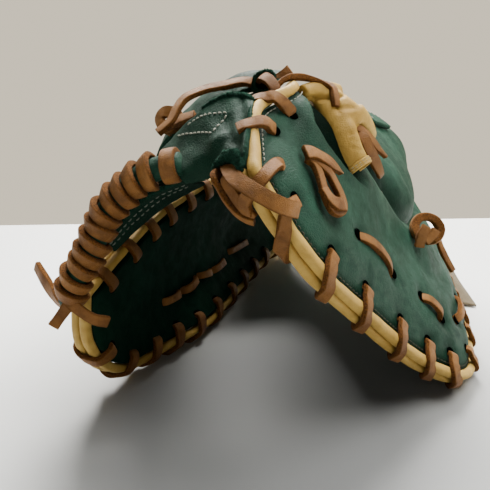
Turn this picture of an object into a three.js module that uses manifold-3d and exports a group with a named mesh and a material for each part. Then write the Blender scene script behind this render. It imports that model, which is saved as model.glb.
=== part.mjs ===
// First baseman mitt lying palm down, modelled as one curved sheet with shells, welts and lacing on it.
// Millimetres. +Y runs from the finger tips to the heel, +X to the finger side, +Z up off the table.
import * as THREE from "three";
import { mergeVertices } from "three/addons/utils/BufferGeometryUtils.js";
import Module from "manifold-3d";

// The mitt between its rims.
const LENGTH = 270;
const WIDTH = 190;
const HEIGHT = 150;

// The leathers.
const PALM_THICKNESS = 6;
const BACK_THICKNESS = 2.8;
const BACK_EDGE_RISE = 3.4;
const PANEL_PUFF = 6.5;
const FINGER_HUMP = 22;
const THUMB_HUMP = 20;
const WEB_THICKNESS = 2.6;
const GAP = 0.4;

// The welts and the laces.
const WELT_WIDTH = 4.6;
const WELT_HEIGHT = 4.6;
const LACE_WIDTH = 5.2;
const LACE_THICKNESS = 2.2;
const LACE_PITCH = 28;
const BAR_RADIUS = 4.2;
const BAR_TURNS = 13;

// The sheet's net: each table is one line from the front edge to the heel, in shares of the sizes above.
const thumbRim = [
  { x: -0.495, y: -0.363, z: 0.387 },
  { x: -0.489, y: -0.370, z: 0.240 },
  { x: -0.474, y: -0.311, z: 0.100 },
  { x: -0.432, y: -0.207, z: 0.060 },
  { x: -0.363, y: -0.089, z: 0.053 },
  { x: -0.332, y: 0.074, z: 0.053 },
  { x: -0.316, y: 0.252, z: 0.053 },
  { x: -0.284, y: 0.415, z: 0.060 },
  { x: -0.221, y: 0.541, z: 0.080 },
];
const thumbMid = [
  { x: -0.453, y: -0.148, z: 0.507 },
  { x: -0.453, y: -0.126, z: 0.387 },
  { x: -0.442, y: -0.089, z: 0.267 },
  { x: -0.421, y: -0.044, z: 0.200 },
  { x: -0.400, y: 0.030, z: 0.187 },
  { x: -0.389, y: 0.141, z: 0.187 },
  { x: -0.368, y: 0.289, z: 0.187 },
  { x: -0.316, y: 0.437, z: 0.187 },
  { x: -0.200, y: 0.548, z: 0.240 },
];
const thumbNeck = [
  { x: -0.379, y: 0.081, z: 0.573 },
  { x: -0.389, y: 0.096, z: 0.493 },
  { x: -0.400, y: 0.111, z: 0.427 },
  { x: -0.400, y: 0.133, z: 0.387 },
  { x: -0.400, y: 0.170, z: 0.360 },
  { x: -0.389, y: 0.230, z: 0.347 },
  { x: -0.358, y: 0.319, z: 0.347 },
  { x: -0.295, y: 0.430, z: 0.347 },
  { x: -0.137, y: 0.533, z: 0.413 },
];
const crest = [
  { x: -0.221, y: 0.156, z: 0.720 },
  { x: -0.221, y: 0.163, z: 0.720 },
  { x: -0.216, y: 0.178, z: 0.727 },
  { x: -0.211, y: 0.200, z: 0.733 },
  { x: -0.200, y: 0.230, z: 0.740 },
  { x: -0.179, y: 0.274, z: 0.740 },
  { x: -0.142, y: 0.348, z: 0.727 },
  { x: -0.074, y: 0.452, z: 0.687 },
  { x: 0.032, y: 0.548, z: 0.613 },
];
const valley = [
  { x: -0.068, y: -0.156, z: 0.973 },
  { x: 0.032, y: -0.093, z: 0.800 },
  { x: 0.100, y: -0.030, z: 0.640 },
  { x: 0.158, y: 0.030, z: 0.513 },
  { x: 0.221, y: 0.074, z: 0.433 },
  { x: 0.242, y: 0.163, z: 0.380 },
  { x: 0.247, y: 0.281, z: 0.360 },
  { x: 0.232, y: 0.415, z: 0.340 },
  { x: 0.179, y: 0.526, z: 0.413 },
];
const flange = [
  { x: -0.095, y: -0.296, z: 0.927 },
  { x: 0.047, y: -0.248, z: 0.693 },
  { x: 0.142, y: -0.174, z: 0.513 },
  { x: 0.237, y: -0.104, z: 0.360 },
  { x: 0.311, y: -0.033, z: 0.260 },
  { x: 0.347, y: 0.074, z: 0.227 },
  { x: 0.342, y: 0.252, z: 0.220 },
  { x: 0.316, y: 0.433, z: 0.220 },
  { x: 0.263, y: 0.556, z: 0.267 },
];
const fingerRim = [
  { x: -0.058, y: -0.407, z: 0.813 },
  { x: 0.053, y: -0.396, z: 0.600 },
  { x: 0.174, y: -0.307, z: 0.380 },
  { x: 0.300, y: -0.219, z: 0.180 },
  { x: 0.421, y: -0.137, z: 0.060 },
  { x: 0.442, y: 0.007, z: 0.053 },
  { x: 0.421, y: 0.222, z: 0.053 },
  { x: 0.384, y: 0.444, z: 0.060 },
  { x: 0.326, y: 0.570, z: 0.087 },
];
const netLines = [thumbRim, thumbMid, thumbNeck, crest, valley, flange, fingerRim];

// Stations of the sheet: u runs from the front edge to the heel, and w from the thumb rim (-1)
// to the finger rim (1).
const frontToHeel = [
  0, 0.012, 0.03, 0.055, 0.09, 0.13, 0.18, 0.235, 0.29, 0.35,
  0.41, 0.47, 0.53, 0.6, 0.67, 0.75, 0.83, 0.92, 1,
];
const BACK_START = 0.05;
const VALLEY = 1 / 3;
const fingerSide = [
  0, BACK_START, 0.08, 0.13, 0.19, 0.25, 0.3, VALLEY, 0.38, 0.46, 0.58, 0.7, 0.82, 0.93, 1,
];
const thumbSide = [-1, -0.93, -0.82, -0.7, -0.56, -0.43, -0.3, -0.18, -0.1, -BACK_START];
const acrossAll = [...thumbSide, ...fingerSide];

const vec = (x, y, z) => new THREE.Vector3(x, y, z);
const atShare = (row) => vec(row.x * WIDTH, row.y * LENGTH, row.z * HEIGHT);
const clamp01 = (t) => Math.min(1, Math.max(0, t));

function smoothStep(from, to, t) {
  const s = clamp01((t - from) / (to - from));
  return s * s * (3 - 2 * s);
}

// A smooth curve through points, with t from 0 to 1.
function through(points, t) {
  const last = points.length - 1;
  const place = clamp01(t) * last;
  const i = Math.min(Math.floor(place), last - 1);
  const f = place - i;
  const b = points[i];
  const c = points[i + 1];
  const a = i > 0 ? points[i - 1] : b.clone().multiplyScalar(2).sub(c);
  const d = i < last - 1 ? points[i + 2] : c.clone().multiplyScalar(2).sub(b);
  const blend = (k) =>
    0.5 *
    (2 * b[k] +
      (c[k] - a[k]) * f +
      (2 * a[k] - 5 * b[k] + 4 * c[k] - d[k]) * f * f +
      (3 * b[k] - a[k] - 3 * c[k] + d[k]) * f * f * f);
  return vec(blend("x"), blend("y"), blend("z"));
}

const lines = netLines.map((line) => line.map(atShare));

function sheet(u, w) {
  const row = lines.map((line) => through(line, u));
  return through(row, (w + 1) / 2);
}

function sheetNormal(u, w) {
  const step = 0.004;
  const alongU = sheet(clamp01(u + step), w).sub(sheet(clamp01(u - step), w));
  const w0 = Math.max(-1, w - step);
  const w1 = Math.min(1, w + step);
  const alongW = sheet(u, w1).sub(sheet(u, w0));
  return alongW.cross(alongU).normalize();
}

// A point that stands h off the sheet.
function off(u, w, h) {
  return sheet(u, w).addScaledVector(sheetNormal(u, w), h);
}

// How far in from the nearest rim a place on the sheet is.
function fromRim(u, w) {
  const here = sheet(u, w);
  const side = here.distanceTo(sheet(u, w < 0 ? -1 : 1));
  const front = here.distanceTo(sheet(0, w));
  return Math.min(side, front);
}

// Height of the finger back over the sheet: padded panel, valley, and the hump over the fingers.
function fingerBackHeight(u, w) {
  const swell = PANEL_PUFF * (1 - Math.exp(-fromRim(u, w) / 12));
  if (w >= VALLEY) {
    const dip = Math.exp(-(((w - VALLEY) / 0.06) ** 2));
    return BACK_EDGE_RISE + swell * (1 - 0.75 * dip);
  }
  const start = 0.22 * smoothStep(0.45, 0.75, u);
  const s = start + (1 - start) * ((w - BACK_START) / (VALLEY - BACK_START));
  const arch = Math.max(0, Math.sin(Math.PI * clamp01(s))) ** 0.5;
  return BACK_EDGE_RISE + 0.25 * swell + FINGER_HUMP * arch * smoothStep(-0.005, 0.06, u);
}

// Height of the thumb back over the sheet.
function thumbBackHeight(u, w) {
  const swell = 0.5 * PANEL_PUFF * (1 - Math.exp(-fromRim(u, w) / 12));
  const start = 0.2 * smoothStep(0.45, 0.75, u);
  const s = start + (1 - start) * ((-w - BACK_START) / (0.8 - BACK_START));
  const arch = Math.max(0, Math.sin(Math.PI * clamp01(s))) ** 0.8;
  return BACK_EDGE_RISE + swell + THUMB_HUMP * arch * smoothStep(0.1, 0.5, u);
}

// Closed geometry from vertices and faces, turned so that the faces point out.
function closedGeometry(points, faces) {
  let volume = 0;
  for (const [i, j, k] of faces) volume += points[i].dot(points[j].clone().cross(points[k]));
  const flat = [];
  for (const p of points) flat.push(p.x, p.y, Math.max(0, p.z));
  const index = [];
  for (const [i, j, k] of faces) index.push(...(volume < 0 ? [i, k, j] : [i, j, k]));
  const geometry = new THREE.BufferGeometry();
  geometry.setAttribute("position", new THREE.Float32BufferAttribute(flat, 3));
  geometry.setIndex(index);
  return geometry;
}

// A closed slab between two grids of points of the same size.
function slab(top, bottom) {
  const rows = top.length;
  const columns = top[0].length;
  const points = [...top.flat(), ...bottom.flat()];
  const below = rows * columns;
  const at = (i, j) => i * columns + j;
  const faces = [];
  for (let i = 0; i < rows - 1; i++) {
    for (let j = 0; j < columns - 1; j++) {
      const a = at(i, j);
      const b = at(i + 1, j);
      const c = at(i + 1, j + 1);
      const d = at(i, j + 1);
      faces.push([a, b, c], [a, c, d]);
      faces.push([below + a, below + c, below + b], [below + a, below + d, below + c]);
    }
  }
  const border = [];
  for (let j = 0; j < columns; j++) border.push(at(0, j));
  for (let i = 1; i < rows; i++) border.push(at(i, columns - 1));
  for (let j = columns - 2; j >= 0; j--) border.push(at(rows - 1, j));
  for (let i = rows - 2; i > 0; i--) border.push(at(i, 0));
  border.forEach((a, k) => {
    const b = border[(k + 1) % border.length];
    faces.push([a, b, below + b], [a, below + b, below + a]);
  });
  return closedGeometry(points, faces);
}

// A slab that lies on the sheet between two heights.
function sheetSlab(across, outer, inner) {
  const grid = (height) => frontToHeel.map((u) => across.map((w) => off(u, w, height(u, w))));
  return slab(grid(outer), grid(inner));
}

// A closed solid through rings of points; all rings have the same number of points.
function loft(rings) {
  const n = rings[0].length;
  const points = rings.flat();
  const faces = [];
  for (let i = 0; i < rings.length - 1; i++) {
    for (let k = 0; k < n; k++) {
      const a = i * n + k;
      const b = i * n + ((k + 1) % n);
      faces.push([a, b, b + n], [a, b + n, a + n]);
    }
  }
  const end = (rings.length - 1) * n;
  for (let k = 1; k < n - 1; k++) {
    faces.push([0, k + 1, k], [end, end + k, end + k + 1]);
  }
  return closedGeometry(points, faces);
}

// Directions along a line of points.
function tangents(path) {
  return path.map((p, i) => {
    const before = path[Math.max(0, i - 1)];
    const after = path[Math.min(path.length - 1, i + 1)];
    return after.clone().sub(before).normalize();
  });
}

// A flat lace along a path; faceOut says which way its smooth side looks at each point.
function lace(path, faceOut, width = LACE_WIDTH, thickness = LACE_THICKNESS) {
  const along = tangents(path);
  const rings = path.map((p, i) => {
    const side = along[i].clone().cross(faceOut[i]).normalize();
    const out = side.clone().cross(along[i]).normalize();
    const corner = (a, b) =>
      p
        .clone()
        .addScaledVector(side, (a * width) / 2)
        .addScaledVector(out, (b * thickness) / 2);
    return [corner(-1, -1), corner(1, -1), corner(1, 1), corner(-1, 1)];
  });
  return loft(rings);
}

// A round rod along a path.
function rod(path, radius, sides = 8) {
  const along = tangents(path);
  let up = vec(0, 0, 1);
  const rings = path.map((p, i) => {
    const side = along[i].clone().cross(up).normalize();
    up = side.clone().cross(along[i]).normalize();
    const ring = [];
    for (let k = 0; k < sides; k++) {
      const turn = (2 * Math.PI * k) / sides;
      ring.push(
        p
          .clone()
          .addScaledVector(side, radius * Math.cos(turn))
          .addScaledVector(up, radius * Math.sin(turn)),
      );
    }
    return ring;
  });
  return loft(rings);
}

// Points spread evenly on the smooth curve through a table of shares.
function curve(table, count) {
  const points = table.map(atShare);
  const out = [];
  for (let i = 0; i <= count; i++) out.push(through(points, i / count));
  return out;
}

const wasm = await Module();
wasm.setup();

function toSolid(geometry) {
  const bare = new THREE.BufferGeometry();
  bare.setAttribute("position", geometry.getAttribute("position"));
  bare.setIndex(geometry.getIndex());
  const merged = mergeVertices(bare, 1e-3);
  return new wasm.Manifold(
    new wasm.Mesh({
      numProp: 3,
      vertProperties: merged.attributes.position.array,
      triVerts: new Uint32Array(merged.index.array),
    }),
  );
}

function fromSolid(solid) {
  const mesh = solid.getMesh();
  const geometry = new THREE.BufferGeometry();
  geometry.setAttribute("position", new THREE.BufferAttribute(mesh.vertProperties, 3));
  geometry.setIndex(new THREE.BufferAttribute(mesh.triVerts, 1));
  return geometry;
}

function joined(geometries) {
  let whole = toSolid(geometries[0]);
  for (const geometry of geometries.slice(1)) whole = whole.add(toSolid(geometry));
  return fromSolid(whole);
}

// The rim of one leaf as a line of places, with the way out of the leaf and the sheet's normal at each.
function rimOf(side, fromW) {
  const places = [];
  const list = side > 0 ? fingerSide : thumbSide.slice().reverse();
  for (const w of list) if (Math.abs(w) >= fromW && Math.abs(w) < 1) places.push([0, w]);
  for (const u of frontToHeel) places.push([u, side]);
  const points = places.map(([u, w]) => sheet(u, w));
  const along = tangents(points);
  let length = 0;
  return places.map(([u, w], i) => {
    if (i > 0) length += points[i].distanceTo(points[i - 1]);
    const normal = sheetNormal(u, w);
    const out = along[i].clone().cross(normal).normalize().multiplyScalar(side);
    return { point: points[i], normal, out, along: along[i], length, corner: u === 0 && Math.abs(w) === 1 };
  });
}

// A place on the rim line at a given length along it.
function rimAt(rim, length) {
  let i = 1;
  while (i < rim.length - 1 && rim[i].length < length) i++;
  const a = rim[i - 1];
  const b = rim[i];
  const f = (length - a.length) / (b.length - a.length);
  const mix = (key) => a[key].clone().lerp(b[key], f);
  return { point: mix("point"), normal: mix("normal"), out: mix("out") };
}

const placed = (at, out, h) =>
  at.point.clone().addScaledVector(at.out, out).addScaledVector(at.normal, h);

// A welt strip along the rim; rise is 1 for the strip by the back and -1 for the strip by the palm.
function welt(rim, rise) {
  const wide = WELT_WIDTH;
  const high = WELT_HEIGHT * rise;
  const low = (GAP / 2) * rise;
  const rings = rim.map((at) => [
    placed(at, GAP, low),
    placed(at, GAP + wide, low),
    placed(at, GAP + wide, low + high * 0.55),
    placed(at, GAP + wide * 0.55, low + high),
    placed(at, GAP, low + high * 0.9),
  ]);
  return loft(rings);
}

// Lacing that wraps over the rim at each station, and runs under the leaf from one wrap to the next.
// hidden is -1 where the run is on the palm side and 1 where it is on the back.
function edgeLacing(rim, stations, hidden) {
  const half = LACE_THICKNESS / 2;
  const palmH = -PALM_THICKNESS - 2.2 * GAP - half;
  const backH = BACK_EDGE_RISE + PANEL_PUFF * 0.6 + 2 * GAP + half;
  const outside = GAP + WELT_WIDTH + GAP + half;
  const inset = 1.35 * LACE_WIDTH;
  const loop = [
    [-inset - 2, backH + 0.6],
    [-0.35 * inset, backH - 0.9],
    [outside - 3, WELT_HEIGHT + GAP + half + 0.8],
    [outside - 0.2, WELT_HEIGHT],
    [outside + 0.3, 0],
    [outside - 0.2, -WELT_HEIGHT - 0.2],
    [outside - 3, palmH],
    [-0.35 * inset, palmH - 0.2],
    [-inset - 2, palmH - 0.4],
  ];
  const pieces = stations.map((length) => {
    const at = rimAt(rim, length);
    const path = loop.map(([out, h]) => placed(at, out, h));
    const faces = loop.map(([out, h]) =>
      at.normal.clone().multiplyScalar(h).addScaledVector(at.out, Math.max(0, out)),
    );
    return lace(path, faces);
  });
  const runH = hidden < 0 ? palmH - 0.4 : backH + 0.6;
  const path = [];
  const faces = [];
  const steps = Math.ceil((stations[stations.length - 1] - stations[0]) / 9);
  for (let i = 0; i <= steps; i++) {
    const at = rimAt(rim, stations[0] + ((stations[stations.length - 1] - stations[0]) * i) / steps);
    path.push(placed(at, -inset, runH));
    faces.push(at.normal.clone().multiplyScalar(hidden));
  }
  return joined([lace(path, faces, LACE_WIDTH * 0.8), ...pieces]);
}

const mitt = new THREE.Group();
const looks = {
  green: { color: "#3f6a54", roughness: 0.6 },
  darkGreen: { color: "#234c3c", roughness: 0.65 },
  tan: { color: "#dcbb7c", roughness: 0.55 },
  brown: { color: "#a5683c", roughness: 0.6 },
};

function addPiece(name, geometry, look) {
  const material = new THREE.MeshStandardMaterial({ ...looks[look], metalness: 0 });
  const mesh = new THREE.Mesh(geometry, material);
  mesh.name = name;
  mitt.add(mesh);
}

// The palm and the backs.
addPiece("palm", sheetSlab(acrossAll, () => 0, () => -PALM_THICKNESS), "darkGreen");
addPiece(
  "finger_back",
  sheetSlab(
    fingerSide.slice(1),
    fingerBackHeight,
    (u, w) => Math.max(GAP, fingerBackHeight(u, w) - BACK_THICKNESS),
  ),
  "green",
);
addPiece(
  "thumb_back",
  sheetSlab(
    thumbSide,
    thumbBackHeight,
    (u, w) => Math.max(GAP, thumbBackHeight(u, w) - BACK_THICKNESS),
  ),
  "green",
);

// The welts.
const fingerRimLine = rimOf(1, VALLEY);
const INNER_RIM = fingerRimLine.find((at) => at.corner).length - 1;
const thumbRimLine = rimOf(-1, 0.2);
addPiece("finger_welt_back", welt(fingerRimLine, 1), "tan");
addPiece("finger_welt_palm", welt(fingerRimLine.filter((at) => at.length > INNER_RIM), -1), "tan");
addPiece("thumb_welt_back", welt(thumbRimLine, 1), "tan");
addPiece("thumb_welt_palm", welt(thumbRimLine, -1), "tan");

// The lacing round the rims: two wraps on the web side of the fingers, then even wraps from the
// tips to the heel.
function evenStations(rim, start, end) {
  const list = [];
  const last = rim[rim.length - 1].length - end;
  for (let length = start; length < last; length += LACE_PITCH) list.push(length);
  return list;
}
const fingerStations = [
  1.22 * LACE_PITCH,
  1.73 * LACE_PITCH,
  ...evenStations(fingerRimLine, 3.64 * LACE_PITCH, 16),
];
const thumbStations = evenStations(thumbRimLine, LACE_PITCH, 16);
addPiece("finger_edge_lace", edgeLacing(fingerRimLine, fingerStations, -1), "brown");
addPiece("thumb_edge_lace", edgeLacing(thumbRimLine, thumbStations, 1), "brown");

// The spiral laced bar across the mouth of the web.
const barLine = [
  { x: -0.55, y: -0.407, z: 0.387 },
  { x: -0.517, y: -0.4, z: 0.48 },
  { x: -0.465, y: -0.385, z: 0.6 },
  { x: -0.4, y: -0.37, z: 0.71 },
  { x: -0.316, y: -0.356, z: 0.785 },
  { x: -0.258, y: -0.35, z: 0.805 },
];
const barPath = curve(barLine, 14);
addPiece("web_bar_core", rod(barPath, BAR_RADIUS), "darkGreen");

function spiral() {
  const steps = BAR_TURNS * 10;
  const points = barLine.map(atShare);
  const path = [];
  const faces = [];
  for (let i = 0; i <= steps; i++) {
    const t = 0.05 + (0.9 * i) / steps;
    const here = through(points, t);
    const along = through(points, t + 0.01).sub(through(points, t - 0.01)).normalize();
    const side = along.clone().cross(vec(0, 0, 1)).normalize();
    const up = side.clone().cross(along);
    const turn = (2 * Math.PI * i) / 10;
    const face = side.multiplyScalar(Math.cos(turn)).addScaledVector(up, Math.sin(turn));
    path.push(here.addScaledVector(face, BAR_RADIUS + GAP + LACE_THICKNESS / 2 + 0.15));
    faces.push(face);
  }
  return lace(path, faces, LACE_WIDTH * 0.9);
}
addPiece("web_bar_lace", spiral(), "brown");

// A bent sheet through a few lines of points, with its thickness on the lower side.
function bentSheet(tables, across, along, thickness) {
  const lines3 = tables.map((table) => table.map(atShare));
  const place = (a, b) => through(lines3.map((line) => through(line, a)), b);
  const top = [];
  const bottom = [];
  for (let i = 0; i <= across; i++) {
    const topRow = [];
    const bottomRow = [];
    for (let j = 0; j <= along; j++) {
      const a = i / across;
      const b = j / along;
      const overA = place(clamp01(a + 0.01), b).sub(place(clamp01(a - 0.01), b));
      const overB = place(a, clamp01(b + 0.01)).sub(place(a, clamp01(b - 0.01)));
      const normal = overB.cross(overA).normalize();
      const p = place(a, b);
      topRow.push(p);
      bottomRow.push(p.clone().addScaledVector(normal, -thickness));
    }
    top.push(topRow);
    bottom.push(bottomRow);
  }
  return slab(top, bottom);
}

// The tab that takes the bar to the finger rim: its far edge, its top and its near edge.
const nearTabLines = [
  [
    { x: -0.255, y: -0.267, z: 0.9 },
    { x: -0.2, y: -0.27, z: 0.955 },
    { x: -0.142, y: -0.275, z: 0.975 },
  ],
  [
    { x: -0.24, y: -0.34, z: 0.87 },
    { x: -0.195, y: -0.345, z: 0.9 },
    { x: -0.15, y: -0.34, z: 0.92 },
  ],
  [
    { x: -0.225, y: -0.375, z: 0.76 },
    { x: -0.185, y: -0.38, z: 0.78 },
    { x: -0.14, y: -0.395, z: 0.83 },
  ],
];
addPiece("web_near_tab", bentSheet(nearTabLines, 5, 6, WEB_THICKNESS), "green");

// The strip that arches over the web behind the bar.
const rearStripLines = [
  [
    { x: -0.45, y: -0.1, z: 0.676 },
    { x: -0.39, y: -0.12, z: 0.86 },
    { x: -0.28, y: -0.11, z: 0.99 },
    { x: -0.18, y: -0.09, z: 1.04 },
    { x: -0.081, y: -0.085, z: 1.035 },
  ],
  [
    { x: -0.445, y: -0.21, z: 0.656 },
    { x: -0.38, y: -0.225, z: 0.78 },
    { x: -0.28, y: -0.21, z: 0.9 },
    { x: -0.19, y: -0.19, z: 0.955 },
    { x: -0.089, y: -0.185, z: 0.97 },
  ],
];
addPiece("web_rear_strip", bentSheet(rearStripLines, 10, 3, WEB_THICKNESS), "green");

// The basket of the web under the bar, from the bar back to the crotch.
const basketLines = [
  [
    { x: -0.5, y: -0.32, z: 0.465 },
    { x: -0.445, y: -0.31, z: 0.62 },
    { x: -0.36, y: -0.3, z: 0.72 },
    { x: -0.26, y: -0.3, z: 0.76 },
    { x: -0.12, y: -0.3, z: 0.85 },
  ],
  [
    { x: -0.465, y: -0.2, z: 0.569 },
    { x: -0.41, y: -0.19, z: 0.65 },
    { x: -0.33, y: -0.18, z: 0.71 },
    { x: -0.24, y: -0.18, z: 0.77 },
    { x: -0.12, y: -0.19, z: 0.875 },
  ],
  [
    { x: -0.43, y: -0.07, z: 0.624 },
    { x: -0.38, y: -0.05, z: 0.68 },
    { x: -0.31, y: -0.04, z: 0.72 },
    { x: -0.24, y: -0.05, z: 0.78 },
    { x: -0.14, y: -0.08, z: 0.87 },
  ],
  [
    { x: -0.36, y: 0.05, z: 0.665 },
    { x: -0.33, y: 0.065, z: 0.72 },
    { x: -0.28, y: 0.075, z: 0.75 },
    { x: -0.23, y: 0.06, z: 0.79 },
    { x: -0.185, y: 0.03, z: 0.83 },
  ],
];
addPiece("web_basket", bentSheet(basketLines, 6, 8, WEB_THICKNESS), "darkGreen");

// A point above the finger back's own surface, and the way that surface faces there.
function backFace(u, w) {
  const step = 0.006;
  const at = (a, b) => off(clamp01(a), b, fingerBackHeight(clamp01(a), b));
  const alongU = at(u + step, w).sub(at(u - step, w));
  const alongW = at(u, w + step).sub(at(u, w - step));
  return alongW.cross(alongU).normalize();
}
const onBack = (u, w, lift) =>
  off(u, w, fingerBackHeight(u, w)).addScaledVector(backFace(u, w), lift);

// Laces that lie on the finger back along a list of [u, w] places.
function laceOnBack(places, width = LACE_WIDTH, count = 10) {
  const points = places.map(([u, w]) => vec(u, w, 0));
  const path = [];
  const faces = [];
  for (let i = 0; i <= count; i++) {
    const at = through(points, i / count);
    const arch = 1.2 * Math.sin((Math.PI * i) / count);
    path.push(onBack(at.x, at.y, 2 * GAP + LACE_THICKNESS / 2 + arch));
    faces.push(backFace(at.x, at.y));
  }
  return lace(path, faces, width);
}
const slashKnot = [
  [0.067, 0.6],
  [0.081, 0.69],
  [0.106, 0.77],
  [0.13, 0.8],
  [0.145, 0.76],
  [0.135, 0.69],
  [0.11, 0.6],
];
const slashMiddle = [[0.181, 0.765], [0.225, 0.75], [0.288, 0.77]];
const slashOuter = [[0.388, 0.77], [0.42, 0.79], [0.45, 0.825]];
const slashSide = [[0.51, 0.79], [0.56, 0.79], [0.62, 0.78]];
addPiece("slash_knot_lace", laceOnBack(slashKnot, LACE_WIDTH * 0.8, 16), "brown");
addPiece("slash_lace_middle", laceOnBack(slashMiddle), "brown");
addPiece("slash_lace_outer", laceOnBack(slashOuter), "brown");
addPiece("slash_lace_side", laceOnBack(slashSide), "brown");

// The tan bridge: a roll, a body and two legs on the side of the finger hump that faces the valley.
function alongBack(from, to, lift, count) {
  const path = [];
  const faces = [];
  for (let i = 0; i <= count; i++) {
    const u = from[0] + ((to[0] - from[0]) * i) / count;
    const w = from[1] + ((to[1] - from[1]) * i) / count;
    path.push(onBack(u, w, lift));
    faces.push(backFace(u, w));
  }
  return { path, faces };
}

function straight(from, to, count) {
  const path = [];
  for (let i = 0; i <= count; i++) path.push(from.clone().lerp(to, i / count));
  return path;
}

const BRIDGE_THICKNESS = 4;
const BRIDGE_LIFT = GAP + BRIDGE_THICKNESS / 2;

function fingerBridge() {
  const roll = rod(alongBack([0.03, 0.295], [0.085, 0.295], 5, 5).path, 4.4);
  const body = alongBack([0.062, 0.285], [0.105, 0.315], BRIDGE_LIFT + 1.8, 4);
  const legTop = onBack(0.088, 0.312, BRIDGE_LIFT + 1.6);
  const legEnd = onBack(0.135, 0.49, BRIDGE_LIFT + 1.2);
  const leftLeg = straight(legTop, legEnd, 4);
  const rightLeg = alongBack([0.09, 0.3], [0.2, 0.295], BRIDGE_LIFT + 1.6, 6);
  const face = backFace(0.1, 0.3).add(sheetNormal(0.12, 0.5)).normalize();
  return joined([
    roll,
    lace(body.path, body.faces, 24, BRIDGE_THICKNESS),
    lace(leftLeg, leftLeg.map(() => face), 11, BRIDGE_THICKNESS),
    lace(rightLeg.path, rightLeg.faces, 12, BRIDGE_THICKNESS),
  ]);
}
addPiece("finger_bridge", fingerBridge(), "tan");

// The wrist strap from the finger back over the open hand side to the thumb back.
const strapAcross = [-0.3, -0.18, -0.1, -BACK_START, -0.02, 0.02, BACK_START, 0.08, 0.13];
const strapStations = frontToHeel.filter((u) => u > 0.8 && u < 0.95);
function strapHeight(u, w) {
  if (w >= BACK_START) return fingerBackHeight(u, w);
  if (w <= -BACK_START) return thumbBackHeight(u, w);
  const f = (w + BACK_START) / (2 * BACK_START);
  const low = thumbBackHeight(u, -BACK_START);
  return low + (fingerBackHeight(u, BACK_START) - low) * f + 3 * Math.sin(Math.PI * f);
}
const strapGrid = (lift) =>
  strapStations.map((u) => strapAcross.map((w) => off(u, w, strapHeight(u, w) + lift)));
addPiece("wrist_strap", slab(strapGrid(GAP + WEB_THICKNESS), strapGrid(GAP)), "green");

// Knots and lace ends that stand off the leather.
const outerKnotPath = [
  { x: 0.295, y: -0.028, z: 0.468 },
  { x: 0.270, y: -0.025, z: 0.486 },
  { x: 0.268, y: -0.007, z: 0.517 },
  { x: 0.289, y: 0.013, z: 0.535 },
  { x: 0.325, y: 0.041, z: 0.520 },
  { x: 0.344, y: 0.039, z: 0.489 },
  { x: 0.341, y: 0.030, z: 0.450 },
  { x: 0.356, y: 0.029, z: 0.413 },
  { x: 0.391, y: 0.022, z: 0.330 },
];
const webKnotPath = [
  { x: -0.334, y: -0.216, z: 0.857 },
  { x: -0.358, y: -0.214, z: 0.870 },
  { x: -0.370, y: -0.207, z: 0.893 },
  { x: -0.354, y: -0.205, z: 0.912 },
  { x: -0.326, y: -0.208, z: 0.907 },
  { x: -0.295, y: -0.211, z: 0.942 },
  { x: -0.251, y: -0.216, z: 0.977 },
  { x: -0.185, y: -0.217, z: 0.996 },
  { x: -0.124, y: -0.213, z: 1.005 },
];
const archPath = [
  { x: -0.110, y: -0.206, z: 1.001 },
  { x: -0.099, y: -0.199, z: 1.025 },
  { x: -0.075, y: -0.184, z: 1.036 },
  { x: -0.043, y: -0.162, z: 1.032 },
  { x: -0.009, y: -0.139, z: 1.013 },
  { x: 0.022, y: -0.123, z: 1.003 },
  { x: 0.043, y: -0.124, z: 0.983 },
];
const tipTailPath = [
  { x: -0.523, y: -0.395, z: 0.368 },
  { x: -0.559, y: -0.375, z: 0.382 },
  { x: -0.601, y: -0.354, z: 0.400 },
  { x: -0.642, y: -0.337, z: 0.440 },
];
const tipLacePath = [
  { x: -0.481, y: -0.397, z: 0.418 },
  { x: -0.454, y: -0.393, z: 0.373 },
  { x: -0.416, y: -0.391, z: 0.348 },
];
const crossUpperPath = [
  { x: -0.122, y: -0.417, z: 0.838 },
  { x: -0.074, y: -0.437, z: 0.815 },
  { x: -0.028, y: -0.450, z: 0.789 },
  { x: 0.003, y: -0.441, z: 0.766 },
  { x: 0.024, y: -0.418, z: 0.742 },
];
const crossLowerPath = [
  { x: -0.142, y: -0.394, z: 0.810 },
  { x: -0.125, y: -0.394, z: 0.756 },
  { x: -0.099, y: -0.397, z: 0.718 },
  { x: -0.066, y: -0.408, z: 0.712 },
];

function freeLace(table, toward, count, width = LACE_WIDTH) {
  const path = curve(table, count);
  return lace(path, path.map(() => toward), width);
}
const towardToes = vec(-0.1, -0.9, 0.4);
addPiece("outer_knot_lace", freeLace(outerKnotPath, vec(0.5, -0.8, 0.3), 16, LACE_WIDTH * 0.9), "brown");
addPiece("web_knot_lace", freeLace(webKnotPath, vec(-0.3, -0.6, 0.7), 16), "brown");
addPiece("bridge_arch_lace", freeLace(archPath, vec(0, -0.5, 0.85), 10), "brown");
addPiece("tip_tail_lace", freeLace(tipTailPath, towardToes, 4), "brown");
addPiece("tip_lace", freeLace(tipLacePath, towardToes, 5), "brown");
addPiece("cross_lace_upper", freeLace(crossUpperPath, vec(0.3, -0.85, 0.3), 7), "brown");
addPiece("cross_lace_lower", freeLace(crossLowerPath, vec(0.2, -0.95, 0.1), 6), "brown");

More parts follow.
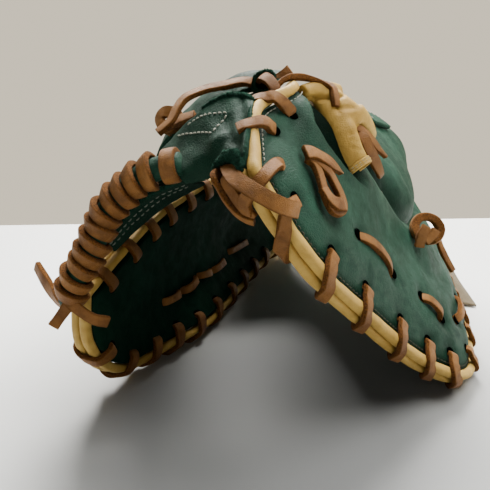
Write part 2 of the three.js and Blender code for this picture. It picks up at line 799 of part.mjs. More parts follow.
// Lacing on the pocket side of the thumb.
function laceOnPalm(from, to) {
  const path = [];
  const faces = [];
  for (let i = 0; i <= 4; i++) {
    const u = from[0] + ((to[0] - from[0]) * i) / 4;
    const w = from[1] + ((to[1] - from[1]) * i) / 4;
    path.push(off(u, w, -PALM_THICKNESS - 2 * GAP - LACE_THICKNESS / 2 - Math.sin((Math.PI * i) / 4)));
    faces.push(sheetNormal(u, w).negate());
  }
  return lace(path, faces);
}
addPiece("thumb_slash_front", laceOnPalm([0.27, -0.78], [0.4, -0.68]), "brown");
addPiece("thumb_slash_middle", laceOnPalm([0.43, -0.65], [0.61, -0.72]), "brown");
addPiece("thumb_slash_heel", laceOnPalm([0.65, -0.67], [0.77, -0.74]), "brown");

// The pointed end of the wrist lining that shows past the little finger side.
const pullTabLines = [
  [
    { x: 0.452, y: 0.36, z: 0.14 },
    { x: 0.5, y: 0.3, z: 0.07 },
    { x: 0.545, y: 0.24, z: 0.02 },
  ],
  [
    { x: 0.472, y: 0.23, z: 0.03 },
    { x: 0.51, y: 0.23, z: 0.02 },
    { x: 0.55, y: 0.232, z: 0.012 },
  ],
];
addPiece("lining_point", bentSheet(pullTabLines, 4, 2, 1.6), "tan");

// The origin is on the table under the middle of the mitt.
const extent = new THREE.Box3().setFromObject(mitt);
const middle = extent.getCenter(new THREE.Vector3());
mitt.position.set(-middle.x, -middle.y, 0);

export default mitt;
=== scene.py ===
"""Looks for a first baseman mitt that lies palm down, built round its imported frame.

Lengths are written in millimetres and turned into metres in one place, add_piece.
The mitt is one curved sheet: u runs from the front edge to the heel, and w from the
thumb rim (-1) over the crest (0) to the finger rim (1).
"""

import math

import bpy
import numpy as np
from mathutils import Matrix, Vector


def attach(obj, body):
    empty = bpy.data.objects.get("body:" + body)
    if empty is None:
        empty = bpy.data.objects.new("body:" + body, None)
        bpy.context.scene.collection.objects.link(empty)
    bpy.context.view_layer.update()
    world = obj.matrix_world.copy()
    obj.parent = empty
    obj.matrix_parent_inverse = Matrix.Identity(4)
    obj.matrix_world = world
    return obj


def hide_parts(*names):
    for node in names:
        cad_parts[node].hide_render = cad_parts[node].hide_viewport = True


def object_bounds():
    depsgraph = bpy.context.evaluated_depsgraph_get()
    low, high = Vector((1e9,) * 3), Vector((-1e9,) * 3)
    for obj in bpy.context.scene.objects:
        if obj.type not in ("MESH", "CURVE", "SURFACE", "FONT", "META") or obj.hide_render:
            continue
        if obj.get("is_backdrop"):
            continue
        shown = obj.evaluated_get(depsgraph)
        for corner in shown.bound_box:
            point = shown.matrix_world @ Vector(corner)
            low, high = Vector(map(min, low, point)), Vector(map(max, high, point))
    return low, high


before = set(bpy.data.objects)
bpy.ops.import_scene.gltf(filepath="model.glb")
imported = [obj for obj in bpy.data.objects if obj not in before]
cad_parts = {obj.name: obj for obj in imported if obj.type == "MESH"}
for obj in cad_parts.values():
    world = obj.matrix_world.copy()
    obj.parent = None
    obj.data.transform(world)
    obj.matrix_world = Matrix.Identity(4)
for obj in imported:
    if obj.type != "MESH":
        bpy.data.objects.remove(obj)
cad_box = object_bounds()

ORIGIN = np.array((9.714, -19.270, 0.0))
PALM_THICKNESS = 6.0
BACK_THICKNESS = 2.8
BACK_EDGE_RISE = 3.4
PANEL_PUFF = 6.5
FINGER_HUMP = 22.0
THUMB_HUMP = 20.0
LACE_WIDTH = 5.6
LACE_THICKNESS = 2.4
GAP = 0.4
WELT = 4.7
PUFF_REACH = 12.0
HOLE_DEPTH = 0.35
VALLEY = 1 / 3
BACK_START = 0.05

# The front edge of the finger panel leans to the right and down, most of all where w is LEAN_AT.
LEAN_WAY = np.array((0.84, 0.23, -0.49))
FRONT_LEAN = 5.2
LEAN_AT = 0.44
LEAN_REACH_W = 0.14
LEAN_REACH_U = 0.11

# The sheet's net in millimetres: one line from the front edge to the heel for each of seven places across.
NET = np.array(
    [
        [(-94, -98, 58), (-93, -100, 36), (-90, -84, 15), (-82, -56, 9), (-69, -24, 8),
         (-63, 20, 8), (-60, 68, 8), (-54, 112, 9), (-42, 146, 12)],
        [(-86, -40, 76), (-86, -34, 58), (-84, -24, 40), (-80, -12, 30), (-76, 8, 28),
         (-74, 38, 28), (-70, 78, 28), (-60, 118, 28), (-38, 148, 36)],
        [(-72, 22, 86), (-74, 26, 74), (-76, 30, 64), (-76, 36, 58), (-76, 46, 54),
         (-74, 62, 52), (-68, 86, 52), (-56, 116, 52), (-26, 144, 62)],
        [(-42, 42, 108), (-42, 44, 108), (-41, 48, 109), (-40, 54, 110), (-38, 62, 111),
         (-34, 74, 111), (-27, 94, 109), (-14, 122, 103), (6, 148, 92)],
        [(-13, -42, 146), (6, -25, 120), (19, -8, 96), (30, 8, 77), (42, 20, 65),
         (46, 44, 57), (47, 76, 54), (44, 112, 51), (34, 142, 62)],
        [(-18, -80, 139), (9, -67, 104), (27, -47, 77), (45, -28, 54), (59, -9, 39),
         (66, 20, 34), (65, 68, 33), (60, 117, 33), (50, 150, 40)],
        [(-11, -110, 122), (10, -107, 90), (33, -83, 57), (57, -59, 27), (80, -37, 9),
         (84, 2, 8), (80, 60, 8), (73, 120, 9), (62, 154, 13)],
    ],
    float,
)


def unit(v):
    v = np.asarray(v, float)
    return v / np.maximum(np.linalg.norm(v, axis=-1, keepdims=True), 1e-9)


def bell(x, reach):
    return np.exp(-((x / reach) ** 2))


def both(u, w):
    return np.broadcast_arrays(np.asarray(u, float), np.asarray(w, float))


def run_along(path):
    """Length along a path at each of its points."""
    return np.r_[0, np.cumsum(np.linalg.norm(np.diff(path, axis=0), axis=1))]


def sample(field, run, s):
    """Values at the lengths s of vectors that are given at the lengths run."""
    return np.stack([np.interp(s, run, field[:, k]) for k in range(3)], -1)


def shares(count):
    return np.linspace(0, 1, count)


def smooth_step(low, high, t):
    s = np.clip((np.asarray(t, float) - low) / (high - low), 0, 1)
    return s * s * (3 - 2 * s)


def catmull(a, b, c, d, f):
    return 0.5 * (
        2 * b + (c - a) * f + (2 * a - 5 * b + 4 * c - d) * f**2
        + (3 * b - a - 3 * c + d) * f**3
    )


def spline(points, t):
    """Points on the smooth curve through the given ones, with t from 0 to 1."""
    p = np.asarray(points, float)
    p = np.concatenate([2 * p[:1] - p[1:2], p, 2 * p[-1:] - p[-2:-1]])
    count = len(p) - 3
    s = np.clip(np.asarray(t, float), 0, 1) * count
    i = np.minimum(s.astype(int), count - 1)
    f = (s - i).reshape(s.shape + (1,) * (p.ndim - 1))
    return catmull(p[i], p[i + 1], p[i + 2], p[i + 3], f)


def even(points, count):
    """The same curve with evenly spaced points."""
    p = spline(points, shares(40 * len(points)))
    run = run_along(p)
    return sample(p, run, np.linspace(0, run[-1], count))


def sheet(u, w):
    """Points of the mitt's sheet."""
    u, w = both(u, w)
    rows = np.stack([spline(line, u) for line in NET])
    rows = np.concatenate([2 * rows[:1] - rows[1:2], rows, 2 * rows[-1:] - rows[-2:-1]])
    s = (np.clip(w, -1, 1) + 1) * 3
    i = np.minimum(s.astype(int), 5)
    f = (s - i)[..., None]
    pick = lambda k: np.take_along_axis(rows, (i + k)[None, ..., None], axis=0)[0]
    lean = FRONT_LEAN * bell(u, LEAN_REACH_U) * bell(w - LEAN_AT, LEAN_REACH_W)
    return catmull(pick(0), pick(1), pick(2), pick(3), f) + lean[..., None] * LEAN_WAY


def sheet_normal(u, w):
    u, w = both(u, w)
    step = 0.004
    along_u = sheet(np.clip(u + step, 0, 1), w) - sheet(np.clip(u - step, 0, 1), w)
    along_w = sheet(u, np.clip(w + step, -1, 1)) - sheet(u, np.clip(w - step, -1, 1))
    return unit(np.cross(along_w, along_u))


def off(u, w, h):
    """Points at a height over the sheet."""
    return sheet(u, w) + sheet_normal(u, w) * np.asarray(h, float)[..., None]


def from_rim(u, w):
    """Distance in from the nearer of the side rim and the front edge."""
    here = sheet(u, w)
    side = np.linalg.norm(here - sheet(u, np.where(np.asarray(w) < 0, -1.0, 1.0)), axis=-1)
    front = np.linalg.norm(here - sheet(np.zeros_like(np.asarray(u, float)), w), axis=-1)
    return np.minimum(side, front)


def finger_height(u, w):
    """Height of the finger back over the sheet."""
    u, w = both(u, w)
    swell = PANEL_PUFF * (1 - np.exp(-from_rim(u, w) / PUFF_REACH))
    panel = BACK_EDGE_RISE + swell * (1 - 0.75 * bell(w - VALLEY, 0.06))
    start = 0.22 * smooth_step(0.45, 0.75, u)
    s = start + (1 - start) * ((w - BACK_START) / (VALLEY - BACK_START))
    arch = np.maximum(0, np.sin(np.pi * np.clip(s, 0, 1))) ** 0.5
    hump = BACK_EDGE_RISE + 0.25 * swell + FINGER_HUMP * arch * smooth_step(-0.005, 0.06, u)
    return np.where(w >= VALLEY, panel, hump)


def thumb_height(u, w):
    """Height of the thumb back over the sheet."""
    u, w = both(u, w)
    swell = 0.5 * PANEL_PUFF * (1 - np.exp(-from_rim(u, w) / PUFF_REACH))
    start = 0.2 * smooth_step(0.45, 0.75, u)
    s = start + (1 - start) * ((-w - BACK_START) / (0.8 - BACK_START))
    arch = np.maximum(0, np.sin(np.pi * np.clip(s, 0, 1))) ** 0.8
    return BACK_EDGE_RISE + swell + THUMB_HUMP * arch * smooth_step(0.1, 0.5, u)


def back_face(u, w, height=finger_height):
    """The way that the back's own surface looks."""
    u, w = both(u, w)
    step = 0.006
    at = lambda a, b: off(np.clip(a, 0, 1), b, height(np.clip(a, 0, 1), b))
    along_u = at(u + step, w) - at(u - step, w)
    along_w = at(u, w + step) - at(u, w - step)
    return unit(np.cross(along_w, along_u))


def on_back(u, w, lift, height=finger_height):
    """Points at a lift over the back's own surface."""
    return off(u, w, height(u, w)) + back_face(u, w, height) * np.asarray(lift, float)[..., None]


def waves(points, size, seed):
    """Smooth pattern from -1 to 1 over points, about size millimetres from crest to crest."""
    pick = np.random.default_rng(seed)
    total = np.zeros(points.shape[:-1])
    for _ in range(9):
        way = unit(pick.normal(size=3)) * (2 * np.pi / size) * pick.uniform(0.6, 1.7)
        total += np.sin(points @ way + pick.uniform(0, 6.28))
    return total / 4.5


# Building meshes


class Shape:
    """Vertices in millimetres, faces, and how raw, worn or darkened by painted shade each vertex is."""

    def __init__(self):
        self.points, self.faces, self.slots, self.count = [], [], [], 0
        self.marks = {"raw": [], "dark": [], "wear": []}

    def add(self, points, faces, slot=0, **marks):
        """Adds one closed body, and turns its faces to look out."""
        points = np.asarray(points, float).reshape(-1, 3)
        quads = np.array([(*f, f[-1])[:4] for f in faces])
        a, b, c, d = (points[quads[:, k]] for k in range(4))
        volume = (a * np.cross(b, c) + a * np.cross(c, d)).sum()
        turned = [tuple(reversed(f)) for f in faces] if volume < 0 else faces
        self.faces += [tuple(int(i) + self.count for i in f) for f in turned]
        self.slots += list(slot) if np.ndim(slot) else [slot] * len(faces)
        self.points.append(points)
        self.count += len(points)
        for key, values in self.marks.items():
            values.append(np.broadcast_to(marks.get(key, 0.0), len(points)).astype(float))


def new_object(name, data):
    made = bpy.data.objects.new(name, data)
    bpy.context.scene.collection.objects.link(made)
    return made


def add_piece(name, shape, materials, replaces=()):
    """Makes the mesh object, in metres, and sets it on the frame."""
    points = (np.concatenate(shape.points) + ORIGIN) / 1000
    points[:, 2] = np.maximum(points[:, 2], 0.0)
    mesh = bpy.data.meshes.new(name)
    mesh.from_pydata(points.tolist(), [], shape.faces)
    for material in materials:
        mesh.materials.append(material)
    mesh.polygons.foreach_set("material_index", shape.slots)
    mesh.polygons.foreach_set("use_smooth", [True] * len(mesh.polygons))
    for key, values in shape.marks.items():
        field = mesh.attributes.new(key, "FLOAT", "POINT")
        field.data.foreach_set("value", np.concatenate(values).astype(np.float32))
    mesh.update()
    piece = new_object(name, mesh)
    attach(piece, "root")
    if replaces:
        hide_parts(*replaces)
    return piece


def grid_faces(rows, columns, first=0, flip=False):
    i, j = np.meshgrid(np.arange(rows - 1), np.arange(columns - 1), indexing="ij")
    a = (i * columns + j + first).ravel()
    quads = np.stack([a, a + columns, a + columns + 1, a + 1], 1)
    return [tuple(q) for q in (quads[:, ::-1] if flip else quads)]


def slab(shape, top, bottom, slots=(0, 0, 0), bulge=0.0, fuzz=0.0, seed=1, **marks):
    """A closed slab between two grids of points; bulge and fuzz shape its cut edge."""
    rows, columns = top.shape[:2]
    size = rows * columns
    place = np.arange(size).reshape(rows, columns)
    border = np.r_[place[0], place[1:, -1], place[-1, -2::-1], place[-2:0:-1, 0]]
    flat_top, flat_bottom = top.reshape(-1, 3), bottom.reshape(-1, 3)
    i, j = border // columns, border % columns
    inner = np.clip(i, 1, rows - 2) * columns + np.clip(j, 1, columns - 2)
    outward = unit(flat_top[border] - flat_top[inner])
    middle = (flat_top[border] + flat_bottom[border]) / 2 + outward * bulge
    if fuzz:
        middle = middle + np.random.default_rng(seed).normal(size=middle.shape) * fuzz
    points = np.concatenate([flat_top, flat_bottom, middle])
    faces = grid_faces(rows, columns) + grid_faces(rows, columns, size, True)
    kinds = [slots[0]] * (len(faces) // 2) + [slots[1]] * (len(faces) // 2)
    around = len(border)
    for k in range(around):
        n = (k + 1) % around
        faces.append((border[k], border[n], 2 * size + n, 2 * size + k))
        faces.append((2 * size + k, 2 * size + n, size + border[n], size + border[k]))
        kinds += [slots[2]] * 2
    full = {}
    for key in shape.marks:
        edge = 1.0 if key == "raw" else 0.0
        body = np.broadcast_to(marks.get(key, 0.0), top.shape[:2]).ravel()
        full[key] = np.r_[body, np.full(size, 0.8 * edge), np.full(around, edge)]
    shape.add(points, faces, kinds, **full)


def tube_faces(rings, sides):
    """Faces of a tube from ring to ring, and of its two caps, whose middle points come last."""
    faces = []
    for i in range(rings - 1):
        for k in range(sides):
            a, b = i * sides + k, i * sides + (k + 1) % sides
            faces.append((a, b, b + sides, a + sides))
    last = (rings - 1) * sides
    for k in range(sides):
        n = (k + 1) % sides
        faces += [(last + sides, n, k), (last + sides + 1, last + k, last + n)]
    return faces


def sweep(shape, path, out, profile, scale=None, **marks):
    """A closed loft of a profile along a path. out is where the profile's second axis looks."""
    path = np.asarray(path, float)
    along = unit(np.gradient(path, axis=0))
    side = unit(np.cross(along, np.broadcast_to(np.asarray(out, float), path.shape)))
    up = np.cross(side, along)
    grown = np.ones((len(path), 2))
    if scale is not None:
        grown = grown * np.reshape(scale, (len(path), -1))
    rings = (
        path[:, None]
        + side[:, None] * (profile[None, :, :1] * grown[:, None, :1])
        + up[:, None] * (profile[None, :, 1:] * grown[:, None, 1:])
    )
    points = np.concatenate([rings.reshape(-1, 3), path[:1], path[-1:]])
    full = {}
    for key, value in marks.items():
        value = np.resize(np.asarray(value, float), len(profile) * len(path))
        ends = 1.0 if key == "raw" else value[0]
        full[key] = np.r_[value, ends, ends]
    shape.add(points, tube_faces(len(path), len(profile)), **full)


def round_profile(width, height, sides=10, power=1.0):
    turn = np.linspace(0, 2 * np.pi, sides, endpoint=False)
    c, s = np.cos(turn), np.sin(turn)
    x = np.sign(c) * np.abs(c) ** power * width / 2
    y = np.sign(s) * np.abs(s) ** power * height / 2
    return np.stack([x, y], 1)


def lace_profile(width=LACE_WIDTH, thickness=LACE_THICKNESS):
    """A flat lace: its smooth side is up, and its cut sides and its back are raw."""
    w, t = width / 2, thickness / 2
    half = [
        (w * 0.45, t * 1.05, 0.0), (w - 0.75, t, 0.0), (w - 0.3, t * 0.97, 0.25), (w - 0.06, t * 0.78, 0.8),
        (w, t * 0.45, 1.0), (w + 0.04, -t * 0.1, 1.0), (w, -t * 0.7, 1.0), (w - 0.2, -t * 0.96, 1.0),
        (w - 0.7, -t, 0.8),
    ]
    points = [(0, t * 1.08, 0.0)] + half + [(0, -t, 0.8)] + [(-x, y, raw) for x, y, raw in half[::-1]]
    points = np.array(points, float)
    return points[:, :2], points[:, 2]


def lace(shape, points, out, count=40, width=LACE_WIDTH, thickness=LACE_THICKNESS, seed=0, taper=0.0):
    """A flat lace along a path; out is one direction, or one for each point of the path."""
    path = even(points, count)
    out = np.asarray(out, float)
    if out.ndim == 2:
        out = unit(spline(out, shares(count)))
    profile, raw = lace_profile(width, thickness)
    pick = np.random.default_rng(1000 + seed)
    wobble = 1 + 0.06 * np.sin(np.linspace(0, pick.uniform(4, 9), count) + pick.uniform(0, 6))
    press = 1 + 0.08 * np.sin(np.linspace(0, pick.uniform(6, 14), count) + pick.uniform(0, 6))
    end = 1 - taper * smooth_step(0.6, 1, shares(count))
    wear = np.clip(0.5 + 0.5 * np.sin(np.linspace(0, pick.uniform(5, 12), count)), 0, 1) * 0.5
    wear = np.repeat(wear, len(profile)) * np.tile(1 - raw, count)
    sweep(shape, path, out, profile, np.stack([wobble * end, press], 1), raw=raw, wear=wear)


def oval(shape, centre, normal, along, length, width):
    """A small dark lens that stands for a lace hole: painted shade where the hole's dark inside shows."""
    normal = unit(normal)
    along = unit(along - normal * np.dot(along, normal))
    side = np.cross(normal, along)
    points = []
    sides = 16
    for share, h in ((1.0, -HOLE_DEPTH), (1.0, 0.02), (0.7, 0.05)):
        for k in range(sides):
            t = 2 * np.pi * k / sides
            points.append(
                centre + along * (length / 2 * share * math.cos(t))
                + side * (width / 2 * share * math.sin(t)) + normal * h
            )
    points += [centre - normal * HOLE_DEPTH, centre + normal * 0.04]
    shape.add(points, tube_faces(3, sides))


def stitches(shape, path, normal, pitch=3.4, length=2.5, radius=0.36):
    """Thread stitches along a path, half sunk in the leather."""
    run = run_along(path)
    profile = round_profile(2 * radius, 2 * radius, 6)
    sunk = np.array([-0.35, 0.12, 0.22, 0.12, -0.35])
    for start in np.arange(0.5, run[-1] - length, pitch):
        s = start + shares(5) * length
        n = unit(sample(normal, run, s))
        sweep(shape, sample(path, run, s) + n * sunk[:, None], n, profile, [0.6, 1, 1, 1, 0.6])


# Materials


def node_tree(name):
    material = bpy.data.materials.new(name)
    material.use_nodes = True
    tree = material.node_tree
    tree.nodes.clear()
    return material, tree


def add_node(tree, kind, inputs=(), **settings):
    """Adds a node; inputs are pairs of a socket and its value, or the output to link to it."""
    node = tree.nodes.new("ShaderNode" + kind)
    for key, value in settings.items():
        setattr(node, key, value)
    for socket, value in inputs:
        if isinstance(value, bpy.types.NodeSocket):
            tree.links.new(value, node.inputs[socket])
        else:
            node.inputs[socket].default_value = value
    return node


def maths(tree, operation, *values):
    return add_node(tree, "Math", enumerate(values), operation=operation).outputs[0]


def ramp(tree, value, low, high, top=1.0):
    """Goes smoothly from 0 at low to top at high."""
    pairs = (("Value", value), ("From Min", low), ("From Max", high), ("To Max", top))
    return add_node(tree, "MapRange", pairs, interpolation_type="SMOOTHSTEP").outputs["Result"]


def mix(tree, factor, a, b):
    """Colour a where factor is 0, and b where it is 1."""
    a, b = ((*c, 1.0) if isinstance(c, tuple) else c for c in (a, b))
    return add_node(tree, "Mix", (("Factor", factor), (6, a), (7, b)), data_type="RGBA").outputs[2]


def surface(tree, colour, roughness, gloss=0.5, more=()):
    """Gives the material a shader with these looks."""
    pairs = (("Base Color", colour), ("Roughness", roughness), ("Specular IOR Level", gloss), *more)
    shader = add_node(tree, "BsdfPrincipled", pairs)
    add_node(tree, "OutputMaterial", [("Surface", shader.outputs["BSDF"])])


def leather(
    name, base, light, dark, raw_colour, roughness, grain, cell=900.0, sheen=0.0, gloss=0.4, patch=0.4,
):
    """Leather with pores, soft creases, patchy colour, worn highs and raw cut edges, with painted shade in
    dents and gaps where its dark mark says, and a little in the low parts of the creases; it shines less
    under the painted shade.
    """
    material, tree = node_tree(name)
    where = ("Vector", add_node(tree, "TexCoord").outputs["Object"])
    mark = lambda key: add_node(tree, "Attribute", attribute_name=key).outputs["Fac"]
    times = lambda a, b: maths(tree, "MULTIPLY", a, b)
    plus = lambda a, b: maths(tree, "ADD", a, b)
    tint = lambda colour, share: tuple(share * c for c in colour)

    def noise(scale, detail, rough=0.55, distortion=0.0):
        pairs = (("Scale", scale), ("Detail", detail), ("Roughness", rough), ("Distortion", distortion))
        return add_node(tree, "TexNoise", (where, *pairs)).outputs["Fac"]

    mottling = ramp(tree, noise(160.0, 5.0, 0.6, 0.4), 0.3, 0.75)
    pores = add_node(tree, "TexVoronoi", (where, ("Scale", cell)), feature="DISTANCE_TO_EDGE")
    pebble = ramp(tree, pores.outputs["Distance"], 0.0, 0.18)
    creases = noise(90.0, 8.0, 0.7, 1.2)
    fibres = ramp(tree, noise(1500.0, 6.0, 0.75), 0.3, 0.7)

    colour = mix(tree, ramp(tree, noise(26.0, 3.0), 0.35, 0.68), base, light)
    colour = mix(tree, times(mottling, patch), colour, dark)
    colour = mix(tree, times(mark("wear"), 0.75), colour, light)
    # Painted shade: a little darker in the low parts of the crease bumps.
    colour = mix(tree, times(ramp(tree, creases, 0.56, 0.4), 0.10), colour, dark)
    # Painted shade: the dark mark pulls the colour down to a quarter of the dark tone.
    colour = mix(tree, mark("dark"), colour, tint(dark, 0.25))
    suede = mix(tree, fibres, tint(raw_colour, 0.22), tint(raw_colour, 1.5))
    colour = mix(tree, mark("raw"), colour, suede)

    shine = maths(tree, "MULTIPLY_ADD", mottling, 0.16, roughness)
    shine = maths(tree, "MINIMUM", plus(shine, times(mark("raw"), 0.5)), 0.95)
    height = plus(times(pebble, 0.5), creases)
    height = plus(height, times(noise(cell * 1.7, 3.0, 0.6), 0.35))
    height = plus(height, times(mark("raw"), times(fibres, 2.2)))
    bump = add_node(tree, "Bump", (("Strength", grain), ("Distance", 0.0004), ("Height", height)))
    # Less gloss under the painted shade, so the shaded gaps and dents don't reflect.
    gloss_out_of_painted_shade = maths(tree, "MULTIPLY_ADD", mark("dark"), -gloss, gloss)
    sheen_pairs = (("Sheen Weight", sheen), ("Sheen Roughness", 0.5))
    surface(tree, colour, shine, gloss_out_of_painted_shade, (("Normal", bump.outputs["Normal"]), *sheen_pairs))
    return material


def plain(name, colour, roughness, gloss=0.3):
    """Thread and hole material: one colour with a little noise in it."""
    material, tree = node_tree(name)
    where = ("Vector", add_node(tree, "TexCoord").outputs["Object"])
    noise = add_node(tree, "TexNoise", (where, ("Scale", 700.0)))
    shade = mix(tree, noise.outputs["Fac"], tuple(0.82 * c for c in colour), colour)
    surface(tree, shade, roughness, gloss)
    return material


GREEN = leather(
    "back_green", (0.0068, 0.037, 0.0195), (0.015, 0.062, 0.036), (0.001, 0.009, 0.0052),
    (0.016, 0.058, 0.036), roughness=0.55, grain=0.7, gloss=0.16, patch=0.38,
)
# Dark green palm leather, made much darker than the back's green as painted shade for the deep shade inside
# the pocket; the palm, the web's inside, the basket and the flap use it.
PALM_GREEN_PAINTED_SHADE = leather(
    "palm_green_painted_shade", (0.0015, 0.018, 0.009), (0.003, 0.026, 0.014), (0.0006, 0.006, 0.003),
    (0.010, 0.036, 0.022), roughness=0.72, grain=0.5, gloss=0.06,
)
TAN = leather(
    "tan_leather", (0.45, 0.270, 0.050), (0.60, 0.395, 0.100), (0.22, 0.110, 0.015),
    (0.40, 0.24, 0.08), roughness=0.52, grain=0.55, cell=1100.0, gloss=0.24,
)
LACE = leather(
    "lace_leather", (0.155, 0.056, 0.0085), (0.290, 0.125, 0.026), (0.036, 0.011, 0.0012),
    (0.165, 0.060, 0.007), roughness=0.5, grain=0.75, cell=1400.0, gloss=0.24, patch=0.62,
)
SUEDE = leather(
    "lining_suede", (0.155, 0.120, 0.070), (0.215, 0.175, 0.110), (0.075, 0.055, 0.030),
    (0.19, 0.145, 0.088), roughness=0.85, grain=0.5, cell=1600.0, sheen=0.3, gloss=0.1,
)
THREAD = plain("thread", (0.38, 0.38, 0.31), 0.8)
# Painted shade: a dimmer copy of the pale thread for the stitches under the web, on the basket and the
# flap.
THREAD_PAINTED_SHADE = plain("thread_painted_shade", (0.17, 0.19, 0.15), 0.8)
DARK_THREAD = plain("dark_thread", (0.06, 0.065, 0.045), 0.8)
# Painted shade: near black and without gloss, for the dark inside of the lace holes.
HOLE = plain("hole_shade", (0.0006, 0.001, 0.0008), 1.0, 0.0)

# Rims, welts and lacing round them


def rim_line(side, from_w, count=420):
    """The rim of one leaf: the web side from from_w to the tip, then the outer side to the heel."""
    w = np.linspace(from_w, 1, 160)[:-1]
    u = shares(320) ** 1.15
    us = np.r_[np.zeros(len(w)), u]
    ws = np.r_[w, np.ones(len(u))] * side
    points = sheet(us, ws)
    normal = sheet_normal(us, ws)
    run = run_along(points)
    corner = run[len(w)]
    place = np.linspace(0, run[-1], count)
    points, normal = sample(points, run, place), unit(sample(normal, run, place))
    window = bell(np.arange(-8, 9), 4.0)
    window /= window.sum()
    one = lambda values: np.convolve(np.pad(values, 8, mode="edge"), window, "valid")
    smooth = lambda field: np.stack([one(field[:, k]) for k in range(3)], 1)
    along = unit(smooth(np.gradient(points, axis=0)))
    normal = unit(smooth(normal))
    out = unit(np.cross(along, normal)) * side
    return {"point": points, "normal": normal, "out": out, "run": place, "corner": corner}


def rim_at(rim, s):
    point, normal, out = (sample(rim[key], rim["run"], s) for key in ("point", "normal", "out"))
    return point, unit(normal), unit(out)


def placed(rim, s, out, h):
    """A point by the rim: s along it, out past it, and h over the sheet."""
    point, normal, outward = rim_at(rim, s)
    return point + outward * np.asarray(out, float)[..., None] + normal * np.asarray(h, float)[..., None]


def edge_height(inward):
    """Height of the back over the sheet at a distance in from the rim."""
    return BACK_EDGE_RISE + PANEL_PUFF * (1 - np.exp(-np.maximum(inward, 0) / PUFF_REACH))


def welt(shape, rim, rise, start, end, seed, pinches=()):
    """A folded welt strip beside the rim, on the back side (rise 1) or the palm side (rise -1)."""
    s = np.linspace(start, end, 420)
    point, normal, outward = rim_at(rim, s)
    centre = point + outward * (GAP + WELT / 2) + normal * (rise * (0.15 + WELT / 2))
    wobble = 1.02 + 0.035 * waves(centre, 22, seed) + 0.02 * waves(centre, 9, seed + 1)
    for place in pinches:
        wobble -= 0.12 * bell(s - place, 3.6)
    crown = round_profile(WELT, WELT, 14, 0.72)
    centre = centre + outward * (0.25 * waves(centre, 30, seed + 2))[:, None]
    sweep(shape, centre, normal * rise, crown, wobble, wear=0.3)


FINGER_RIM = rim_line(1, VALLEY)
THUMB_RIM = rim_line(-1, 0.2)
finger_end = FINGER_RIM["run"][-1]
thumb_end = THUMB_RIM["run"][-1]

HOLE_IN = 6.0
PALM_SIDE = PALM_THICKNESS + LACE_THICKNESS / 2


def wrap(shape, rim, s, slant, seed):
    """One lace loop from a hole in the back, over both welts, to a hole in the palm.

    A row says how far out past the rim, how high over the sheet and at what share of the
    slant the lace lies, and how far it looks outward and upward there.
    """
    over = WELT + LACE_THICKNESS / 2
    rows = [
        (-HOLE_IN - 0.4, edge_height(HOLE_IN) - 2.2, 0.0, 0.0, 1),
        (-HOLE_IN + 0.1, edge_height(HOLE_IN) + 0.1, 0.0, 0.05, 1),
        (-HOLE_IN + 1.6, edge_height(HOLE_IN - 1) + LACE_THICKNESS / 2 + 0.1, -0.01, 0.1, 1),
        (-1.6, over + 0.45, -0.03, 0.15, 1),
        (1.2, over + 0.35, -0.03, 0.25, 1),
        (3.5, over - 0.3, 0.0, 0.5, 0.85),
        (5.4, WELT - 1.0, 0.12, 0.85, 0.5),
        (6.25, WELT * 0.38, 0.28, 1, 0.15),
        (6.25, -WELT * 0.4, 0.47, 1, -0.15),
        (5.5, -WELT + 0.1, 0.62, 0.8, -0.6),
        (2.6, -over - 0.4, 0.76, 0.35, -0.9),
        (-1.2, -PALM_SIDE - 0.3, 0.92, 0, -1),
        (-3.9, -PALM_SIDE + 0.1, 0.98, -0.1, -1),
        (-5.2, -PALM_THICKNESS + 1.6, 1.0, -0.2, -1),
    ]
    out, height, share, outward, upward = np.array(rows).T[..., None]
    s = s + slant * share[:, 0]
    _, normal, away = rim_at(rim, s)
    path = placed(rim, s, out[:, 0], height[:, 0])
    lace(shape, path, unit(away * outward + normal * upward), 52, 5.5, seed=seed)


def web_wrap(shape, rim, s, slant, seed, reach=1.0):
    """A short lace band from a hole in the finger back, over one welt, into the web's edge."""
    over = WELT + LACE_THICKNESS / 2
    rows = [
        (-HOLE_IN - 0.2, edge_height(HOLE_IN) - 1.9, 0.0),
        (-HOLE_IN + 0.6, edge_height(HOLE_IN) + 0.2, 0.05),
        (-3.0, over + 0.6, 0.2),
        (0.2, over + 1.2, 0.42),
        (3.0, over + 0.6, 0.6),
        (5.2 * reach, WELT - 0.4, 0.78),
        (6.9 * reach, WELT - 2.6, 0.92),
        (8.0 * reach, WELT - 5.4, 1.0),
    ]
    out, height, share = np.array(rows).T
    s = s + slant * share
    path = placed(rim, s, out, height)
    lace(shape, path, unit(path - placed(rim, s, 1.5, -3.0)), 46, 5.0, seed=seed)


def wrapped_holes(shape, rim, s, slant, palm=True):
    """The dark ovals of painted shade that the ends of a wrap go into, on the back and on the palm."""
    _, normal, outward = rim_at(rim, s)
    along = np.cross(normal, outward)
    reach = HOLE_IN + 0.9
    tilt = PANEL_PUFF / PUFF_REACH * math.exp(-reach / PUFF_REACH)
    centre = placed(rim, s - 0.5, -reach, edge_height(reach) + 0.05)
    oval(shape, centre, normal + outward * tilt, along + 0.4 * outward, 5.8, 4.2)
    if palm:
        centre = placed(rim, s + slant, -5.6, -PALM_THICKNESS - 0.1)
        oval(shape, centre, -normal, along, 5.8, 3.6)


